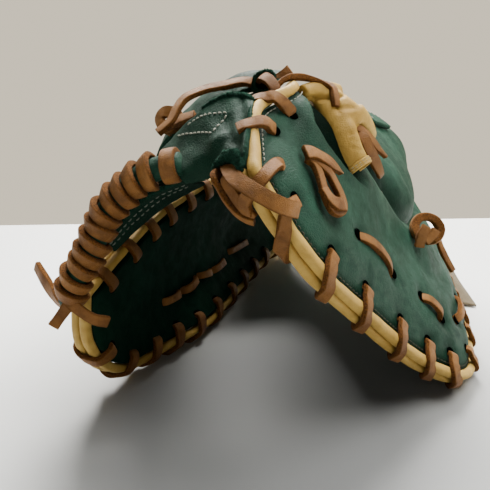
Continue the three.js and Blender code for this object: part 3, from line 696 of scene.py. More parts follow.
# Where the wraps start, in millimetres along the rims, with the slant of each web wrap
corner = FINGER_RIM["corner"]
web_stations = [(26.0, 11.0), (50.0, 8.0)]
FREE_HOLE = 71.0
finger_stations = [corner + x for x in (17, 45.5, 75, 106.5, 133, 153)]
finger_stations += list(np.arange(corner + 180, finger_end - 14, 25.0))
thumb_stations = [14.0, 34.0, 54.0, 76.0, 94.0, 114.0, 137.0, 172.0, 196.0, 217.0, 236.0, 254.0]
thumb_stations += list(np.arange(276.0, thumb_end - 14, 24.0))

# Where the wraps press on the welts
web_pinches = [s + slant * 0.5 for s, slant in web_stations]
finger_pinches = [s + 7.5 for s in finger_stations]
thumb_pinches = [s + (4.0 if s > THUMB_RIM["corner"] else -1.5) for s in thumb_stations]

for label, rim, rise, start, end, seed, pinches in (
    ("finger_welt_back", FINGER_RIM, 1, 0.0, finger_end, 3, web_pinches + finger_pinches),
    ("finger_welt_palm", FINGER_RIM, -1, corner - 3, finger_end, 7, finger_pinches),
    ("thumb_welt_back", THUMB_RIM, 1, 0.0, thumb_end, 11, thumb_pinches),
    ("thumb_welt_palm", THUMB_RIM, -1, 0.0, thumb_end, 15, thumb_pinches),
):
    strip = Shape()
    welt(strip, rim, rise, start, end, seed, pinches)
    add_piece(label.replace("welt", "piping"), strip, [TAN], [label])

finger_wraps, finger_holes = Shape(), Shape()
for k, (s, slant) in enumerate(web_stations):
    web_wrap(finger_wraps, FINGER_RIM, s, slant, 30 + k, reach=0.78 if k == 0 else 1.0)
    wrapped_holes(finger_holes, FINGER_RIM, s, slant, palm=False)
for k, s in enumerate(finger_stations):
    slant = 19.0 if k == 0 else 16.0
    wrap(finger_wraps, FINGER_RIM, s, slant, k)
    wrapped_holes(finger_holes, FINGER_RIM, s, slant)
for s in (FREE_HOLE, 93.5):
    wrapped_holes(finger_holes, FINGER_RIM, s, 0.0, palm=False)
add_piece("finger_edge_lacing", finger_wraps, [LACE], ["finger_edge_lace"])
add_piece("finger_lace_holes", finger_holes, [HOLE])

thumb_wraps, thumb_holes = Shape(), Shape()
for k, s in enumerate(thumb_stations):
    slant = 8.0 if s > THUMB_RIM["corner"] else -3.0
    wrap(thumb_wraps, THUMB_RIM, s, slant, 50 + k)
    wrapped_holes(thumb_holes, THUMB_RIM, s, slant)
add_piece("thumb_edge_lacing", thumb_wraps, [LACE], ["thumb_edge_lace"])
add_piece("thumb_lace_holes", thumb_holes, [HOLE])


# The palm and the back shells


def grid_normals(points):
    """The way that a sheet of points looks, at each of its points."""
    return unit(np.cross(np.gradient(points, axis=1), np.gradient(points, axis=0)))


def bumps(points, places):
    """Sum of soft dents or swells: each place is (point, radius, height)."""
    total = np.zeros(points.shape[:-1])
    for centre, radius, height in places:
        distance = np.linalg.norm(points - np.asarray(centre, float), axis=-1)
        total += height * bell(distance, radius)
    return total


def line_dents(points, path, radius, height):
    """A soft groove (height below 0) or ridge along a path."""
    path = even(path, 40)
    distance = np.full(points.shape[:-1], 1e9)
    for p in path:
        distance = np.minimum(distance, np.linalg.norm(points - p, axis=-1))
    return height * bell(distance, radius)


def hole_dents(top, rim, stations, dent, shade):
    """Dents and shade round the lace holes of a back, each given as (radius, height)."""
    centres = [placed(rim, s, -HOLE_IN - 0.9, edge_height(HOLE_IN + 0.9)) for s in stations]
    return (bumps(top, [(centre, *form) for centre in centres]) for form in (dent, shade))


# Places (u, w) of the laces on the finger back and on the palm below the thumb
SLASH_KNOT = [(0.062, 0.68), (0.076, 0.73), (0.096, 0.79), (0.120, 0.81)]
SLASHES = (
    [(0.183, 0.768), (0.233, 0.762), (0.290, 0.778)],
    [(0.388, 0.770), (0.422, 0.790), (0.452, 0.822)],
    [(0.538, 0.835), (0.58, 0.825), (0.63, 0.81)],
    [(0.72, 0.76), (0.76, 0.75), (0.80, 0.73)],
)
PALM_SLASHES = (
    ((0.267, -0.782), (0.345, -0.725)),
    ((0.36, -0.715), (0.43, -0.665)),
    ((0.445, -0.66), (0.53, -0.69)),
    ((0.545, -0.70), (0.63, -0.722)),
    ((0.65, -0.67), (0.767, -0.738)),
)

# The crisp edge of the finger panel beside the bridge: shares u, and w at each
GAP_EDGE_U = (0.0, 0.019, 0.044, 0.075, 0.119, 0.175, 0.24, 0.30)
GAP_EDGE_W = (0.40, 0.44, 0.51, 0.535, 0.545, 0.53, 0.44, 0.35)


def traced(places, height=finger_height):
    """Points on a back shell at places (u, w)."""
    return on_back(*np.transpose(places), 0.0, height)


def finger_shell():
    """The back of the fingers, with its folds, the dents of the laces, and shade and wear."""
    u = shares(176)[:, None] ** 1.1
    spans = ((BACK_START, VALLEY, 60), (VALLEY, 0.56, 62), (0.56, 1, 72))
    w = np.unique(np.concatenate([np.linspace(*span) for span in spans]))[None]
    height = finger_height(u, w)
    top = off(u, w, height)
    bottom = off(u, w, np.maximum(GAP, height - BACK_THICKNESS))
    face = grid_normals(top)
    inward = from_rim(u, w)
    calm = smooth_step(2, 14, inward)
    push = 0.55 * waves(top, 46, 21) * calm + 0.22 * waves(top, 17, 22) * calm
    push += -0.6 * bell(inward - 1.4, 0.9) * (w > VALLEY)
    for slash in SLASHES:
        line = traced(slash)
        push += bumps(top, [(line[0], 5.0, -1.7), (line[-1], 5.0, -1.7)])
        push += line_dents(top, line, 6.0, -0.7)
    knot = traced(SLASH_KNOT)
    push += line_dents(top, knot, 9.0, -1.6)
    for path, radius, deep in (
        ([(0.02, 0.50), (0.07, 0.56), (0.14, 0.60), (0.22, 0.60)], 7.0, 0.9),
        ([(0.30, 0.52), (0.36, 0.56), (0.44, 0.58), (0.52, 0.55)], 9.0, -0.9),
        ([(0.20, 0.30), (0.25, 0.33), (0.29, 0.38)], 6.0, 1.3),
        ([(0.16, 0.27), (0.21, 0.30), (0.26, 0.35)], 4.0, -1.1),
        ([(0.33, 0.27), (0.35, 0.33), (0.37, 0.40)], 5.0, -1.2),
        ([(0.42, 0.20), (0.47, 0.28), (0.50, 0.38)], 7.0, -1.0),
        ([(0.60, 0.15), (0.62, 0.25), (0.63, 0.36)], 9.0, -1.4),
    ):
        push += line_dents(top, traced(path), radius, deep)
    stations = [s for s, _ in web_stations] + finger_stations + [FREE_HOLE]
    # Painted shade in the dark mark: round the lace holes, along the valley, in the gap beside the bridge,
    # along the rim, towards the finger rim, round the knot and at the slash ends.
    dents, dark = hole_dents(top, FINGER_RIM, stations, (4.4, -0.9), (3.8, 0.6))
    push += dents
    dark += 0.75 * bell(w - VALLEY + 0.012, 0.035) * smooth_step(0.62, 0.1, u)
    gap = smooth_step(0.006, -0.010, w - np.interp(u, GAP_EDGE_U, GAP_EDGE_W))
    gap = gap * smooth_step(VALLEY - 0.03, VALLEY, w) * smooth_step(0.19, 0.13, u)
    dark += 0.95 * gap
    push += -2.0 * gap
    dark += 0.35 * bell(w - VALLEY + 0.03, 0.08) * smooth_step(0.5, 0.1, u)
    dark += 0.5 * bell(inward, 2.2) * (w > VALLEY)
    dark += 0.22 * smooth_step(0.62, 1.0, w) * smooth_step(0.05, 0.2, u)
    dark += line_dents(top, knot, 5.5, 0.35)
    for slash in SLASHES:
        dark += bumps(top, [(end, 3.6, 0.6) for end in traced(slash)[[0, -1]]])
    wear = np.clip(0.9 * bell(inward - 6.5, 4.0) * (0.5 + 0.5 * waves(top, 30, 5)), 0, 1)
    top = top + face * push[..., None]
    shape = Shape()
    slab(shape, top, bottom, (0, 1, 0), wear=wear, dark=np.clip(dark, 0, 0.92))
    add_piece("finger_back_leather", shape, [GREEN, SUEDE], ["finger_back"])


def thumb_shell():
    """The back of the thumb."""
    u = shares(120)[:, None]
    w = np.linspace(-1, -BACK_START, 110)[None]
    height = thumb_height(u, w)
    top = off(u, w, height)
    bottom = off(u, w, np.maximum(GAP, height - BACK_THICKNESS))
    face = grid_normals(top)
    inward = from_rim(u, w)
    calm = smooth_step(2, 14, inward)
    push = 0.6 * waves(top, 44, 31) * calm + 0.25 * waves(top, 18, 32) * calm
    push += -0.6 * bell(inward - 1.4, 0.9)
    for path in (
        [(0.40, -0.20), (0.42, -0.35), (0.44, -0.50)],
        [(0.62, -0.20), (0.60, -0.35), (0.62, -0.52)],
    ):
        push += line_dents(top, traced(path, thumb_height), 8.0, -1.3)
    # Painted shade in the dark mark: round the lace holes and along the rim.
    dents, dark = hole_dents(top, THUMB_RIM, thumb_stations, (4.6, -0.9), (4.2, 0.5))
    push += dents
    dark += 0.5 * bell(inward, 2.2)
    wear = np.clip(0.8 * bell(inward - 6.5, 4.0) * (0.5 + 0.5 * waves(top, 28, 6)), 0, 1)
    shape = Shape()
    slab(shape, top + face * push[..., None], bottom, (0, 1, 0), wear=wear, dark=np.clip(dark, 0, 0.7))
    add_piece("thumb_back_leather", shape, [GREEN, SUEDE], ["thumb_back"])


def palm_sheet():
    """The padded palm under both backs."""
    u = shares(130)[:, None]
    w = np.linspace(-1, 1, 190)[None]
    top, bottom = off(u, w, 0.0), off(u, w, -PALM_THICKNESS)
    face = grid_normals(bottom)
    inward = from_rim(u, w)
    calm = smooth_step(2, 16, inward)
    push = 0.9 * waves(bottom, 60, 41) * calm + 0.3 * waves(bottom, 20, 42) * calm
    for ends in PALM_SLASHES:
        a, b = off(*np.transpose(ends), -PALM_THICKNESS)
        push += line_dents(bottom, [a, (a + b) / 2, b], 5.0, 1.0)
    shape = Shape()
    slab(shape, bottom + face * push[..., None], top, (0, 1, 0))
    add_piece("palm_leather", shape, [PALM_GREEN_PAINTED_SHADE, SUEDE], ["palm"])


finger_shell()
thumb_shell()
palm_sheet()

# Stitching beside the welts: pale beside the web, dark elsewhere
web_seam, rim_seam = Shape(), Shape()
for shape, rim, start, end in (
    (web_seam, FINGER_RIM, 2.0, corner - 4),
    (rim_seam, FINGER_RIM, corner + 2, finger_end - 2),
    (rim_seam, THUMB_RIM, 2.0, thumb_end - 2),
):
    s = np.linspace(start, end, 900)
    path = placed(rim, s, -1.5, edge_height(1.5) - 0.3)
    _, normal, _ = rim_at(rim, s)
    stitches(shape, path, normal, 2.7, 1.9, 0.27)
add_piece("web_side_stitching", web_seam, [THREAD])
add_piece("rim_stitching", rim_seam, [DARK_THREAD])

# Slash lacing on the finger back
BACK_LIFTS = np.array([-3.0, -0.3, 0.9, 1.2, 1.3, 1.2, 0.9, -0.3, -3.0])
slashes, slash_holes = Shape(), Shape()
for k, places in enumerate(SLASHES):
    u, w = spline(places, shares(9)).T
    lace(slashes, on_back(u, w, BACK_LIFTS), back_face(u, w), 40, 4.4, seed=80 + k)
    for end, beside in ((0, 1), (-1, -2)):
        along = on_back(u[beside], w[beside], 0.0) - on_back(u[end], w[end], 0.0)
        oval(slash_holes, on_back(u[end], w[end], -0.9), back_face(u[end], w[end]), along, 6.0, 5.2)
add_piece("slash_lacing", slashes, [LACE],
          ["slash_lace_middle", "slash_lace_outer", "slash_lace_side"])
add_piece("slash_holes", slash_holes, [HOLE])

# Lacing on the pocket side of the thumb
PALM_LIFTS = np.array([-3.0, 0.3, 1.2, 1.7, 1.8, 1.7, 1.2, 0.3, -3.0])
pocket_lacing = Shape()
for k, (a, b) in enumerate(PALM_SLASHES):
    u, w = (a[axis] + (b[axis] - a[axis]) * shares(9) for axis in (0, 1))
    path = off(u, w, -PALM_THICKNESS - PALM_LIFTS)
    lace(pocket_lacing, path, -sheet_normal(u, w), 30, 4.4, seed=95 + k)
add_piece("pocket_lacing", pocket_lacing, [LACE],
          ["thumb_slash_front", "thumb_slash_middle", "thumb_slash_heel"])

# The web


def bent(lines, rows, columns):
    """A grid of points on the smooth sheet through lines of points."""
    along = np.stack([spline(line, shares(columns)) for line in lines])
    return spline(along, shares(rows))


def web_sheet(
    name, lines, rows, columns, thickness, replaces=(), lumps=0.5, seed=1, material=GREEN,
    fuzz=0.12, shape_more=None, dark=0.0,
):
    """A curved leather sheet through lines of points, darkened all over by painted shade as dark says;
    gives its outer face and the way it looks.
    """
    top = bent(lines, rows, columns)
    face = grid_normals(top)
    if face[..., 2].mean() < 0:
        face = -face
    push = lumps * waves(top, 24, seed) + 0.45 * lumps * waves(top, 9, seed + 1)
    if shape_more is not None:
        push = push + shape_more(top)
    top = top + face * push[..., None]
    shape = Shape()
    slab(shape, top, top - face * thickness, (0, 0, 0), bulge=0.3, fuzz=fuzz, seed=seed, dark=dark)
    add_piece(name, shape, [material], replaces)
    return top, face


TAB_LINES = [
    [(-63.0, -75.8, 121.5), (-56.0, -74.8, 129.2), (-49.0, -74.0, 136.0), (-41.5, -74.0, 141.2),
     (-34.0, -74.0, 145.6), (-25.5, -75.4, 147.4), (-18.6, -80.9, 145.6)],
    [(-56.8, -85.5, 120.6), (-49.9, -84.5, 126.2), (-42.7, -83.9, 130.8), (-35.8, -84.2, 135.3),
     (-28.5, -85.3, 138.9), (-21.8, -87.0, 141.2), (-17.3, -91.2, 142.0)],
    [(-51.5, -92.5, 120.1), (-44.9, -91.5, 123.9), (-37.7, -91.0, 127.3), (-31.0, -92.5, 130.7),
     (-24.5, -94.8, 133.7), (-19.1, -98.2, 135.5), (-16.4, -102.3, 136.2)],
    [(-46.7, -97.4, 117.4), (-40.4, -96.0, 120.4), (-34.9, -95.7, 123.0), (-29.2, -97.6, 127.0),
     (-23.6, -100.9, 130.0), (-18.4, -105.2, 131.4), (-15.3, -109.4, 131.2)],
    [(-43.1, -95.5, 113.4), (-37.2, -95.3, 114.6), (-32.8, -95.9, 116.7), (-28.8, -99.0, 122.2),
     (-24.1, -102.0, 126.6), (-18.2, -106.4, 127.7), (-14.6, -112.4, 124.6)],
]


def tab_creases(top):
    """Creases through points of the tab's own lines, each given as (line, point)."""
    total = np.zeros(top.shape[:2])
    for places, radius, height in (
        (((1, 4), (2, 4), (3, 5)), 2.6, -1.1),
        (((0, 5), (1, 5), (2, 6)), 2.2, -0.9),
        (((2, 3), (2, 4), (2, 6)), 3.0, 0.9),
        (((3, 2), (3, 3), (2, 4)), 2.4, -0.8),
        (((0, 3), (1, 3), (2, 3)), 4.0, 0.5),
    ):
        total += line_dents(top, [TAB_LINES[line][point] for line, point in places], radius, height)
    return total


# The tab is darkened all over with painted shade.
tab_top, tab_face = web_sheet(
    "web_tab_leather", TAB_LINES, 70, 90, 2.6, ["web_near_tab"], 0.35, 61,
    fuzz=0.25, shape_more=tab_creases, dark=0.28,
)


def stitch_on(shape, grid, face, places, pitch=3.2):
    """Stitches along a line of (row share, column share) places on a grid."""
    rows, columns = grid.shape[:2]
    run = spline(places, shares(200))
    i = np.clip(run[:, 0] * (rows - 1), 0, rows - 1.001)
    j = np.clip(run[:, 1] * (columns - 1), 0, columns - 1.001)
    i0, j0 = i.astype(int), j.astype(int)
    fi, fj = (i - i0)[:, None], (j - j0)[:, None]

    def at(field):
        return (
            field[i0, j0] * (1 - fi) * (1 - fj) + field[i0 + 1, j0] * fi * (1 - fj)
            + field[i0, j0 + 1] * (1 - fi) * fj + field[i0 + 1, j0 + 1] * fi * fj
        )

    stitches(shape, at(grid), unit(at(face)), pitch, 0.7 * pitch, 0.36)


tab_seams = Shape()
for places in (
    [(0.05, 0.30), (0.05, 0.38), (0.08, 0.45), (0.14, 0.58), (0.18, 0.69)],
    [(0.19, 0.675), (0.27, 0.59), (0.36, 0.51)],
    [(0.36, 0.495), (0.25, 0.39), (0.15, 0.28), (0.05, 0.17)],
):
    stitch_on(tab_seams, tab_top, tab_face, places, 2.5)
add_piece("web_tab_stitching", tab_seams, [THREAD])


def fringe(shape, path, radius, seed, dark=0.0):
    """A ragged edge of torn leather fibres along a path, with painted shade as dark says."""
    count, sides = 160, 14
    path = even(path, count)
    pick = np.random.default_rng(seed)
    along = unit(np.gradient(path, axis=0))
    side = unit(np.cross(along, (0.2, -0.8, 0.5)))
    up = np.cross(side, along)
    turn = np.linspace(0, 2 * np.pi, sides, endpoint=False)[:, None]
    ends = np.sin(np.pi * np.linspace(0.06, 0.94, count)) ** 0.4
    reach = radius * (1 + 0.28 * pick.normal(size=(count, sides))) * ends[:, None]
    reach = np.clip(reach, 0.2 * radius, 1.9 * radius)[..., None]
    rings = path[:, None] + (side[:, None] * np.cos(turn) + up[:, None] * np.sin(turn)) * reach
    points = np.concatenate([rings.reshape(-1, 3), path[:1], path[-1:]])
    shape.add(points, tube_faces(count, sides), raw=1.0, dark=dark)


web_fringe = Shape()
# The last value of each row is painted shade on that fringe.
for edge, shift, radius, seed, dark in (
    (tab_top[-1, 40:], (0.0, -1.2, -0.6), 1.7, 301, 0.45),
    (tab_top[-1, 48:], (0.4, -1.0, 1.2), 1.4, 302, 0.1),
    (tab_top[:30, -1], (-0.3, 0.2, -0.8), 0.7, 303, 0.0),
    (tab_top[0, 42:], (0.0, 0.7, 0.2), 1.2, 304, 0.35),
):
    fringe(web_fringe, edge + shift, radius, seed, dark)

STRIP_LINES = [
    [(-88.6, -26.1, 101.2), (-81.4, -24.5, 119.9), (-68.4, -24.6, 134.5), (-53.4, -24.7, 146.6),
     (-39.0, -27.1, 153.3), (-24.9, -31.3, 155.5), (-13.0, -33.5, 154.3)],
    [(-85.6, -36.1, 100.2), (-77.4, -35.5, 121.9), (-63.4, -35.6, 136.5), (-48.9, -36.7, 146.6),
     (-35.0, -39.1, 152.6), (-22.9, -43.3, 154.2), (-13.6, -44.5, 152.3)],
    [(-84.5, -50.3, 98.8), (-73.4, -48.0, 120.2), (-59.7, -47.6, 132.3), (-43.8, -48.7, 141.4),
     (-31.2, -51.9, 147.3), (-22.2, -54.0, 149.5), (-14.5, -54.6, 148.0)],
]
# The strip is darkened all over with painted shade.
web_sheet(
    "web_strip_leather", STRIP_LINES, 40, 100, 2.6, ["web_rear_strip"], 0.5, 71, fuzz=0.4, dark=0.3,
)

# The web's inside, in the palm green that is darkened as painted shade.
web_sheet(
    "web_inner_leather",
    [
        [(x, y + 1.0, z - 3.0) for x, y, z in TAB_LINES[0]],
        [((a[0] + b[0]) / 2, (a[1] + b[1]) / 2, (a[2] + b[2]) / 2 - 4.5)
         for a, b in zip(TAB_LINES[0], STRIP_LINES[2])],
        [(x, y + 2.0, z - 3.0) for x, y, z in STRIP_LINES[2]],
    ],
    24, 60, 1.5, [], 0.3, 88, material=PALM_GREEN_PAINTED_SHADE,
)

strip_hole = Shape()
HOLE_AT = np.array((-20.3, -54.6, 151.2))
oval(strip_hole, HOLE_AT, (0.1, -0.85, 0.5), (1.0, 0.1, 0.2), 8.0, 8.0)
add_piece("web_strip_hole", strip_hole, [HOLE])
around = np.linspace(0.3, 2 * np.pi - 0.6, 24)
ring = HOLE_AT + np.outer(np.cos(around), (4.8, 0.4, 0.6)) + np.outer(np.sin(around), (0.2, 2.0, 4.2))
fringe(web_fringe, ring, 1.2, 305, 0.2)
add_piece("web_fringe", web_fringe, [GREEN])

BASKET_LINES = [
    [(-95.0, -86.4, 69.8), (-84.6, -83.7, 93.0), (-68.4, -81.0, 108.0), (-49.4, -81.0, 114.0),
     (-22.8, -81.0, 127.5)],
    [(-88.4, -54.0, 85.4), (-77.9, -51.3, 97.5), (-62.7, -48.6, 106.5), (-45.6, -48.6, 115.5),
     (-22.8, -51.3, 131.3)],
    [(-81.7, -18.9, 93.6), (-72.2, -13.5, 102.0), (-58.9, -10.8, 108.0), (-45.6, -13.5, 117.0),
     (-26.6, -21.6, 130.5)],
    [(-68.4, 13.5, 99.8), (-62.7, 17.6, 108.0), (-53.2, 20.3, 112.5), (-43.7, 16.2, 118.5),
     (-35.2, 8.1, 124.5)],
]
basket_top, basket_face = web_sheet(
    "web_basket_leather", BASKET_LINES, 60, 90, 2.6, ["web_basket"], 0.7, 81, material=PALM_GREEN_PAINTED_SHADE,
)
basket_seams = Shape()
for share in (0.05, 0.17):
    stitch_on(basket_seams, basket_top - basket_face * 3.0, -basket_face,
              [(share, 0.08), (share, 0.35), (share, 0.65), (share, 0.95)], 3.4)
add_piece("web_basket_stitching", basket_seams, [THREAD_PAINTED_SHADE])

# The flap from the bar to the thumb rim, with two rows of stitches
FLAP_LINES = [
    [(-85.7, -83.9, 76.6), (-82.3, -65.6, 81.9), (-76.9, -48.9, 87.4), (-70.2, -33.3, 91.8),
     (-62.1, -18.9, 95.0)],
    [(-83.2, -92.5, 81.4), (-78.1, -82.7, 89.2), (-71.7, -72.9, 96.0), (-64.3, -64.6, 101.1),
     (-55.8, -54.3, 104.6)],
    [(-82.0, -99.5, 85.4), (-75.2, -97.2, 95.3), (-67.0, -95.3, 103.4), (-58.5, -92.9, 109.5),
     (-47.6, -90.4, 114.3)],
]
flap_top, flap_face = web_sheet(
    "web_flap_leather", FLAP_LINES, 30, 70, 2.0, [], 0.3, 85, material=PALM_GREEN_PAINTED_SHADE,
)
flap_seams = Shape()
for share in (0.52, 0.74):
    line = [(share, 0.02), (share, 0.35), (share, 0.65), (share, 0.98)]
    stitch_on(flap_seams, flap_top, flap_face, line, 3.2)
    stitch_on(flap_seams, flap_top - flap_face * 2.0, -flap_face, line, 3.2)
add_piece("web_flap_stitching", flap_seams, [THREAD_PAINTED_SHADE])

# The laced bar
BAR_LINE = np.array(
    [(-96.5, -109.2, 57.0), (-94.4, -108.9, 62.0), (-90.3, -108.0, 72.2), (-85.4, -106.0, 80.9),
     (-81.2, -104.4, 89.4), (-77.4, -102.5, 98.9), (-71.8, -101.0, 106.3), (-64.1, -98.8, 113.9),
     (-55.0, -96.6, 119.0), (-45.0, -95.2, 121.5)]
)
bar_path = even(BAR_LINE, 60)
bar_run = shares(60)
core = Shape()
swell = 1.0 - 0.45 * smooth_step(0.05, 0.0, bar_run)
sweep(core, bar_path, (0, -0.5, 0.85), round_profile(10.0, 9.6, 18, 0.95), swell)
add_piece("web_bar_leather", core, [GREEN], ["web_bar_core"])

BAR_TURNS = 11
TURN_STEPS = 34
TURN_REACH = 6.05
turns = Shape()


def bar_turns(start, end, count, width, tilt, seed):
    """Turns of lace round the bar, between two shares of its length."""
    steps = int(count * TURN_STEPS)
    t = start + (end - start) * np.arange(steps + 1) / steps
    here = sample(bar_path, bar_run, t)
    before, after = (sample(bar_path, bar_run, np.clip(t + step, 0, 1)) for step in (-0.02, 0.02))
    along = unit(after - before)
    side = unit(np.cross(along, (0, 0, 1)))
    up = np.cross(side, along)
    turn = 2 * np.pi * np.arange(steps + 1) / TURN_STEPS + 2.6
    radial = side * np.cos(turn)[:, None] + up * np.sin(turn)[:, None]
    reach = TURN_REACH + 0.22 * np.sin(turn * 1.7 + seed) + 0.15 * np.sin(turn * 0.6)
    profile, raw = lace_profile(width, LACE_THICKNESS * 1.15)
    sway = 1 + 0.05 * np.sin(turn * 0.83 + seed)
    path = here + radial * reach[:, None] + along * (0.25 * np.sin(turn * 0.37 + seed))[:, None]
    scale = np.stack([sway, np.ones(steps + 1)], 1)
    sweep(turns, path, unit(radial - along * tilt), profile, scale, raw=raw)


bar_turns(0.05, 0.86, BAR_TURNS, 5.5, 0.42, 1)
bar_turns(0.945, 0.955, 1.0, 6.2, 0.0, 4)
add_piece("web_bar_lacing", turns, [LACE], ["web_bar_lace"])

# Free laces, knots and crossings


def lace_piece(name, replaces, *laces):
    """One piece of several laces, each given as what lace takes after the shape."""
    shape = Shape()
    for given in laces:
        lace(shape, *given)
    add_piece(name, shape, [LACE], replaces)


lace_piece(
    "web_knot", ["web_knot_lace"],
    ([(-63.3, -58.3, 128.5), (-68.0, -57.8, 130.5), (-70.3, -55.9, 134.0), (-67.3, -55.4, 136.8),
      (-61.9, -56.2, 136.0), (-60.4, -57.6, 132.4), (-64.0, -59.6, 130.0), (-69.0, -60.0, 131.0)],
     (-0.5, -0.75, 0.3), 60, LACE_WIDTH, LACE_THICKNESS, 120),
    ([(-60.9, -80.3, 131.0), (-55.9, -77.9, 135.9), (-54.1, -73.1, 141.3), (-51.5, -68.8, 145.1),
      (-44.4, -63.5, 148.3), (-36.8, -59.8, 149.8), (-29.6, -56.6, 151.2), (-25.6, -56.0, 150.9)],
     (-0.3, -0.6, 0.75), 70, 4.4, 2.4, 121),
    ([(-66.0, -60.0, 130.5), (-58.0, -62.0, 134.0), (-50.5, -63.0, 136.6)],
     (-0.1, -0.6, 0.75), 24, 5.2, 2.6, 122),
)
lace_piece(
    "bridge_arch_lacing", ["bridge_arch_lace"],
    ([(-14.4, -57.0, 147.1), (-13.3, -54.2, 150.7), (-10.6, -50.2, 152.6), (-6.3, -44.8, 152.8),
      (-1.5, -40.9, 151.7), (2.2, -38.8, 150.6), (5.8, -38.2, 149.2), (8.4, -38.4, 147.3),
      (9.9, -41.6, 143.5), (10.9, -43.5, 139.9)],
     [(-0.6, 0.2, 0.7), (-0.3, 0.3, 0.9), (0.0, 0.35, 0.95), (0.35, 0.2, 0.9), (0.8, -0.3, 0.5),
      (0.9, -0.5, 0.1)],
     80, 5.0, 2.4, 130),
    ([(-17.5, -46.5, 150.4), (-14.2, -45.0, 153.4), (-11.0, -43.3, 156.0)],
     (0.3, -0.9, 0.3), 14, 4.4, 2.0, 131),
    ([(-22.4, -53.2, 151.6), (-20.6, -55.6, 153.0), (-17.6, -57.6, 152.2), (-14.9, -59.4, 149.6),
      (-13.2, -60.8, 146.2)],
     (0.2, -0.7, 0.7), 30, 5.0, 2.3, 132),
)
lace_piece(
    "crossing_lacing", ["cross_lace_upper", "cross_lace_lower"],
    ([(-25.0, -92.9, 122.6), (-22.4, -103.6, 123.2), (-16.7, -114.8, 121.7), (-9.7, -119.6, 119.3),
      (-3.9, -121.2, 117.0), (1.2, -120.9, 114.6), (4.5, -117.6, 112.6), (5.7, -111.7, 110.5)],
     [(0.0, -0.6, 0.75), (0.0, -0.85, 0.5), (0.15, -0.9, 0.4), (0.45, -0.85, 0.25), (0.8, -0.6, 0.1)],
     90, 6.4, 2.3, 140),
    ([(-2.6, -97.6, 123.0), (-3.6, -102.1, 125.1), (-4.3, -108.4, 125.1), (-5.6, -113.5, 123.6),
      (-7.6, -115.8, 121.0), (-10.2, -116.2, 117.6), (-13.0, -115.0, 113.0), (-12.6, -112.8, 108.0)],
     [(0.3, -0.75, 0.6), (0.1, -0.9, 0.4), (-0.1, -1.0, 0.2), (-0.5, -0.85, 0.0)],
     70, 5.2, 2.3, 141),
    ([(-25.4, -95.4, 120.5), (-27.4, -106.3, 119.3), (-24.9, -107.8, 115.5), (-21.8, -109.6, 111.7),
      (-17.5, -111.6, 108.0), (-13.2, -112.8, 105.9), (-9.8, -113.1, 105.2)],
     [(-0.8, -0.35, -0.3), (-0.75, -0.5, -0.45), (-0.6, -0.6, -0.5)],
     60, 4.4, 2.2, 142),
    ([(-22.9, -99.0, 121.3), (-22.6, -107.9, 119.3), (-18.2, -111.4, 114.9), (-13.8, -113.2, 110.4),
      (-10.1, -113.2, 106.5)],
     (-0.3, -0.9, 0.0), 50, 4.4, 2.2, 143),
)
lace_piece(
    "tip_lacing", ["tip_tail_lace", "tip_lace"],
    ([(-90.4, -109.4, 64.0), (-97.4, -109.0, 58.5), (-105.7, -103.7, 59.5), (-114.2, -97.7, 64.0),
      (-121.5, -92.0, 67.5)],
     (0.35, -0.8, -0.2), 50, 5.2, 2.6, 150),
    ([(-93.3, -112.5, 63.0), (-88.0, -113.0, 59.0), (-82.3, -111.3, 54.3), (-77.9, -106.8, 51.2)],
     [(0.3, -0.9, 0.3), (0.4, -0.9, 0.1)], 36, 4.8, 2.4, 151),
    ([(-93.0, -112.0, 60.5), (-96.0, -113.2, 56.0), (-98.0, -114.6, 53.0), (-99.6, -115.7, 50.6)],
     (0.4, -0.9, 0.0), 20, 5.0, 2.4, 152),
)

KNOT_DROP = np.array((0.6, 0.0, -3.0))
KNOT_SIZE = 0.84
KNOT_RING = np.array(
    [(57.4, -9.6, 69.9), (52.5, -8.8, 72.9), (50.1, -4.4, 77.0), (51.8, 0.0, 81.0), (56.5, 4.0, 82.0),
     (62.7, 7.3, 79.4), (66.5, 7.5, 73.9), (65.6, 4.3, 68.5), (61.5, -0.2, 67.5)]
)
knot_middle = KNOT_RING.mean(axis=0)
lace_piece(
    "outer_knot", ["outer_knot_lace"],
    (KNOT_DROP + knot_middle + KNOT_SIZE * (KNOT_RING - knot_middle),
     [(-0.4, -0.5, -0.7), (-0.9, -0.1, 0.1), (-0.2, 0.3, 0.9), (0.8, 0.3, 0.3), (0.4, -0.3, -0.8)],
     90, 5.6, 4.4, 160),
    (KNOT_DROP + [(54.5, -11.5, 68.5), (55.3, -11.3, 75.0), (57.3, -8.7, 79.0)],
     (0.3, -0.9, 0.2), 20, 5.4, 2.5, 161),
    (KNOT_DROP + [(57.0, -10.9, 71.5), (60.9, -8.0, 74.6), (62.3, -6.6, 77.0)],
     (0.3, -0.9, 0.2), 18, 5.0, 2.4, 162),
    (KNOT_DROP + [(64.8, 4.5, 68.5), (67.5, 3.6, 62.5), (71.4, 3.2, 56.0), (74.6, 3.3, 50.8)],
     (0.75, -0.6, 0.1), 30, 3.6, 2.1, 163),
)

# The folded lace on the finger back: an arrow-shaped end over two strands that turn in a loop
folded = Shape()


def over_back(places, lifts, count, width, thickness, seed, taper=0.0, lean=(0, 0, 0)):
    """A lace over the finger back through places (u, w), at a height over it for each place."""
    u, w, lift = spline(np.column_stack([places, lifts]), shares(count)).T
    face = unit(back_face(u, w) + lean)
    lace(folded, on_back(u, w, lift), face, count, width, thickness, seed, taper)


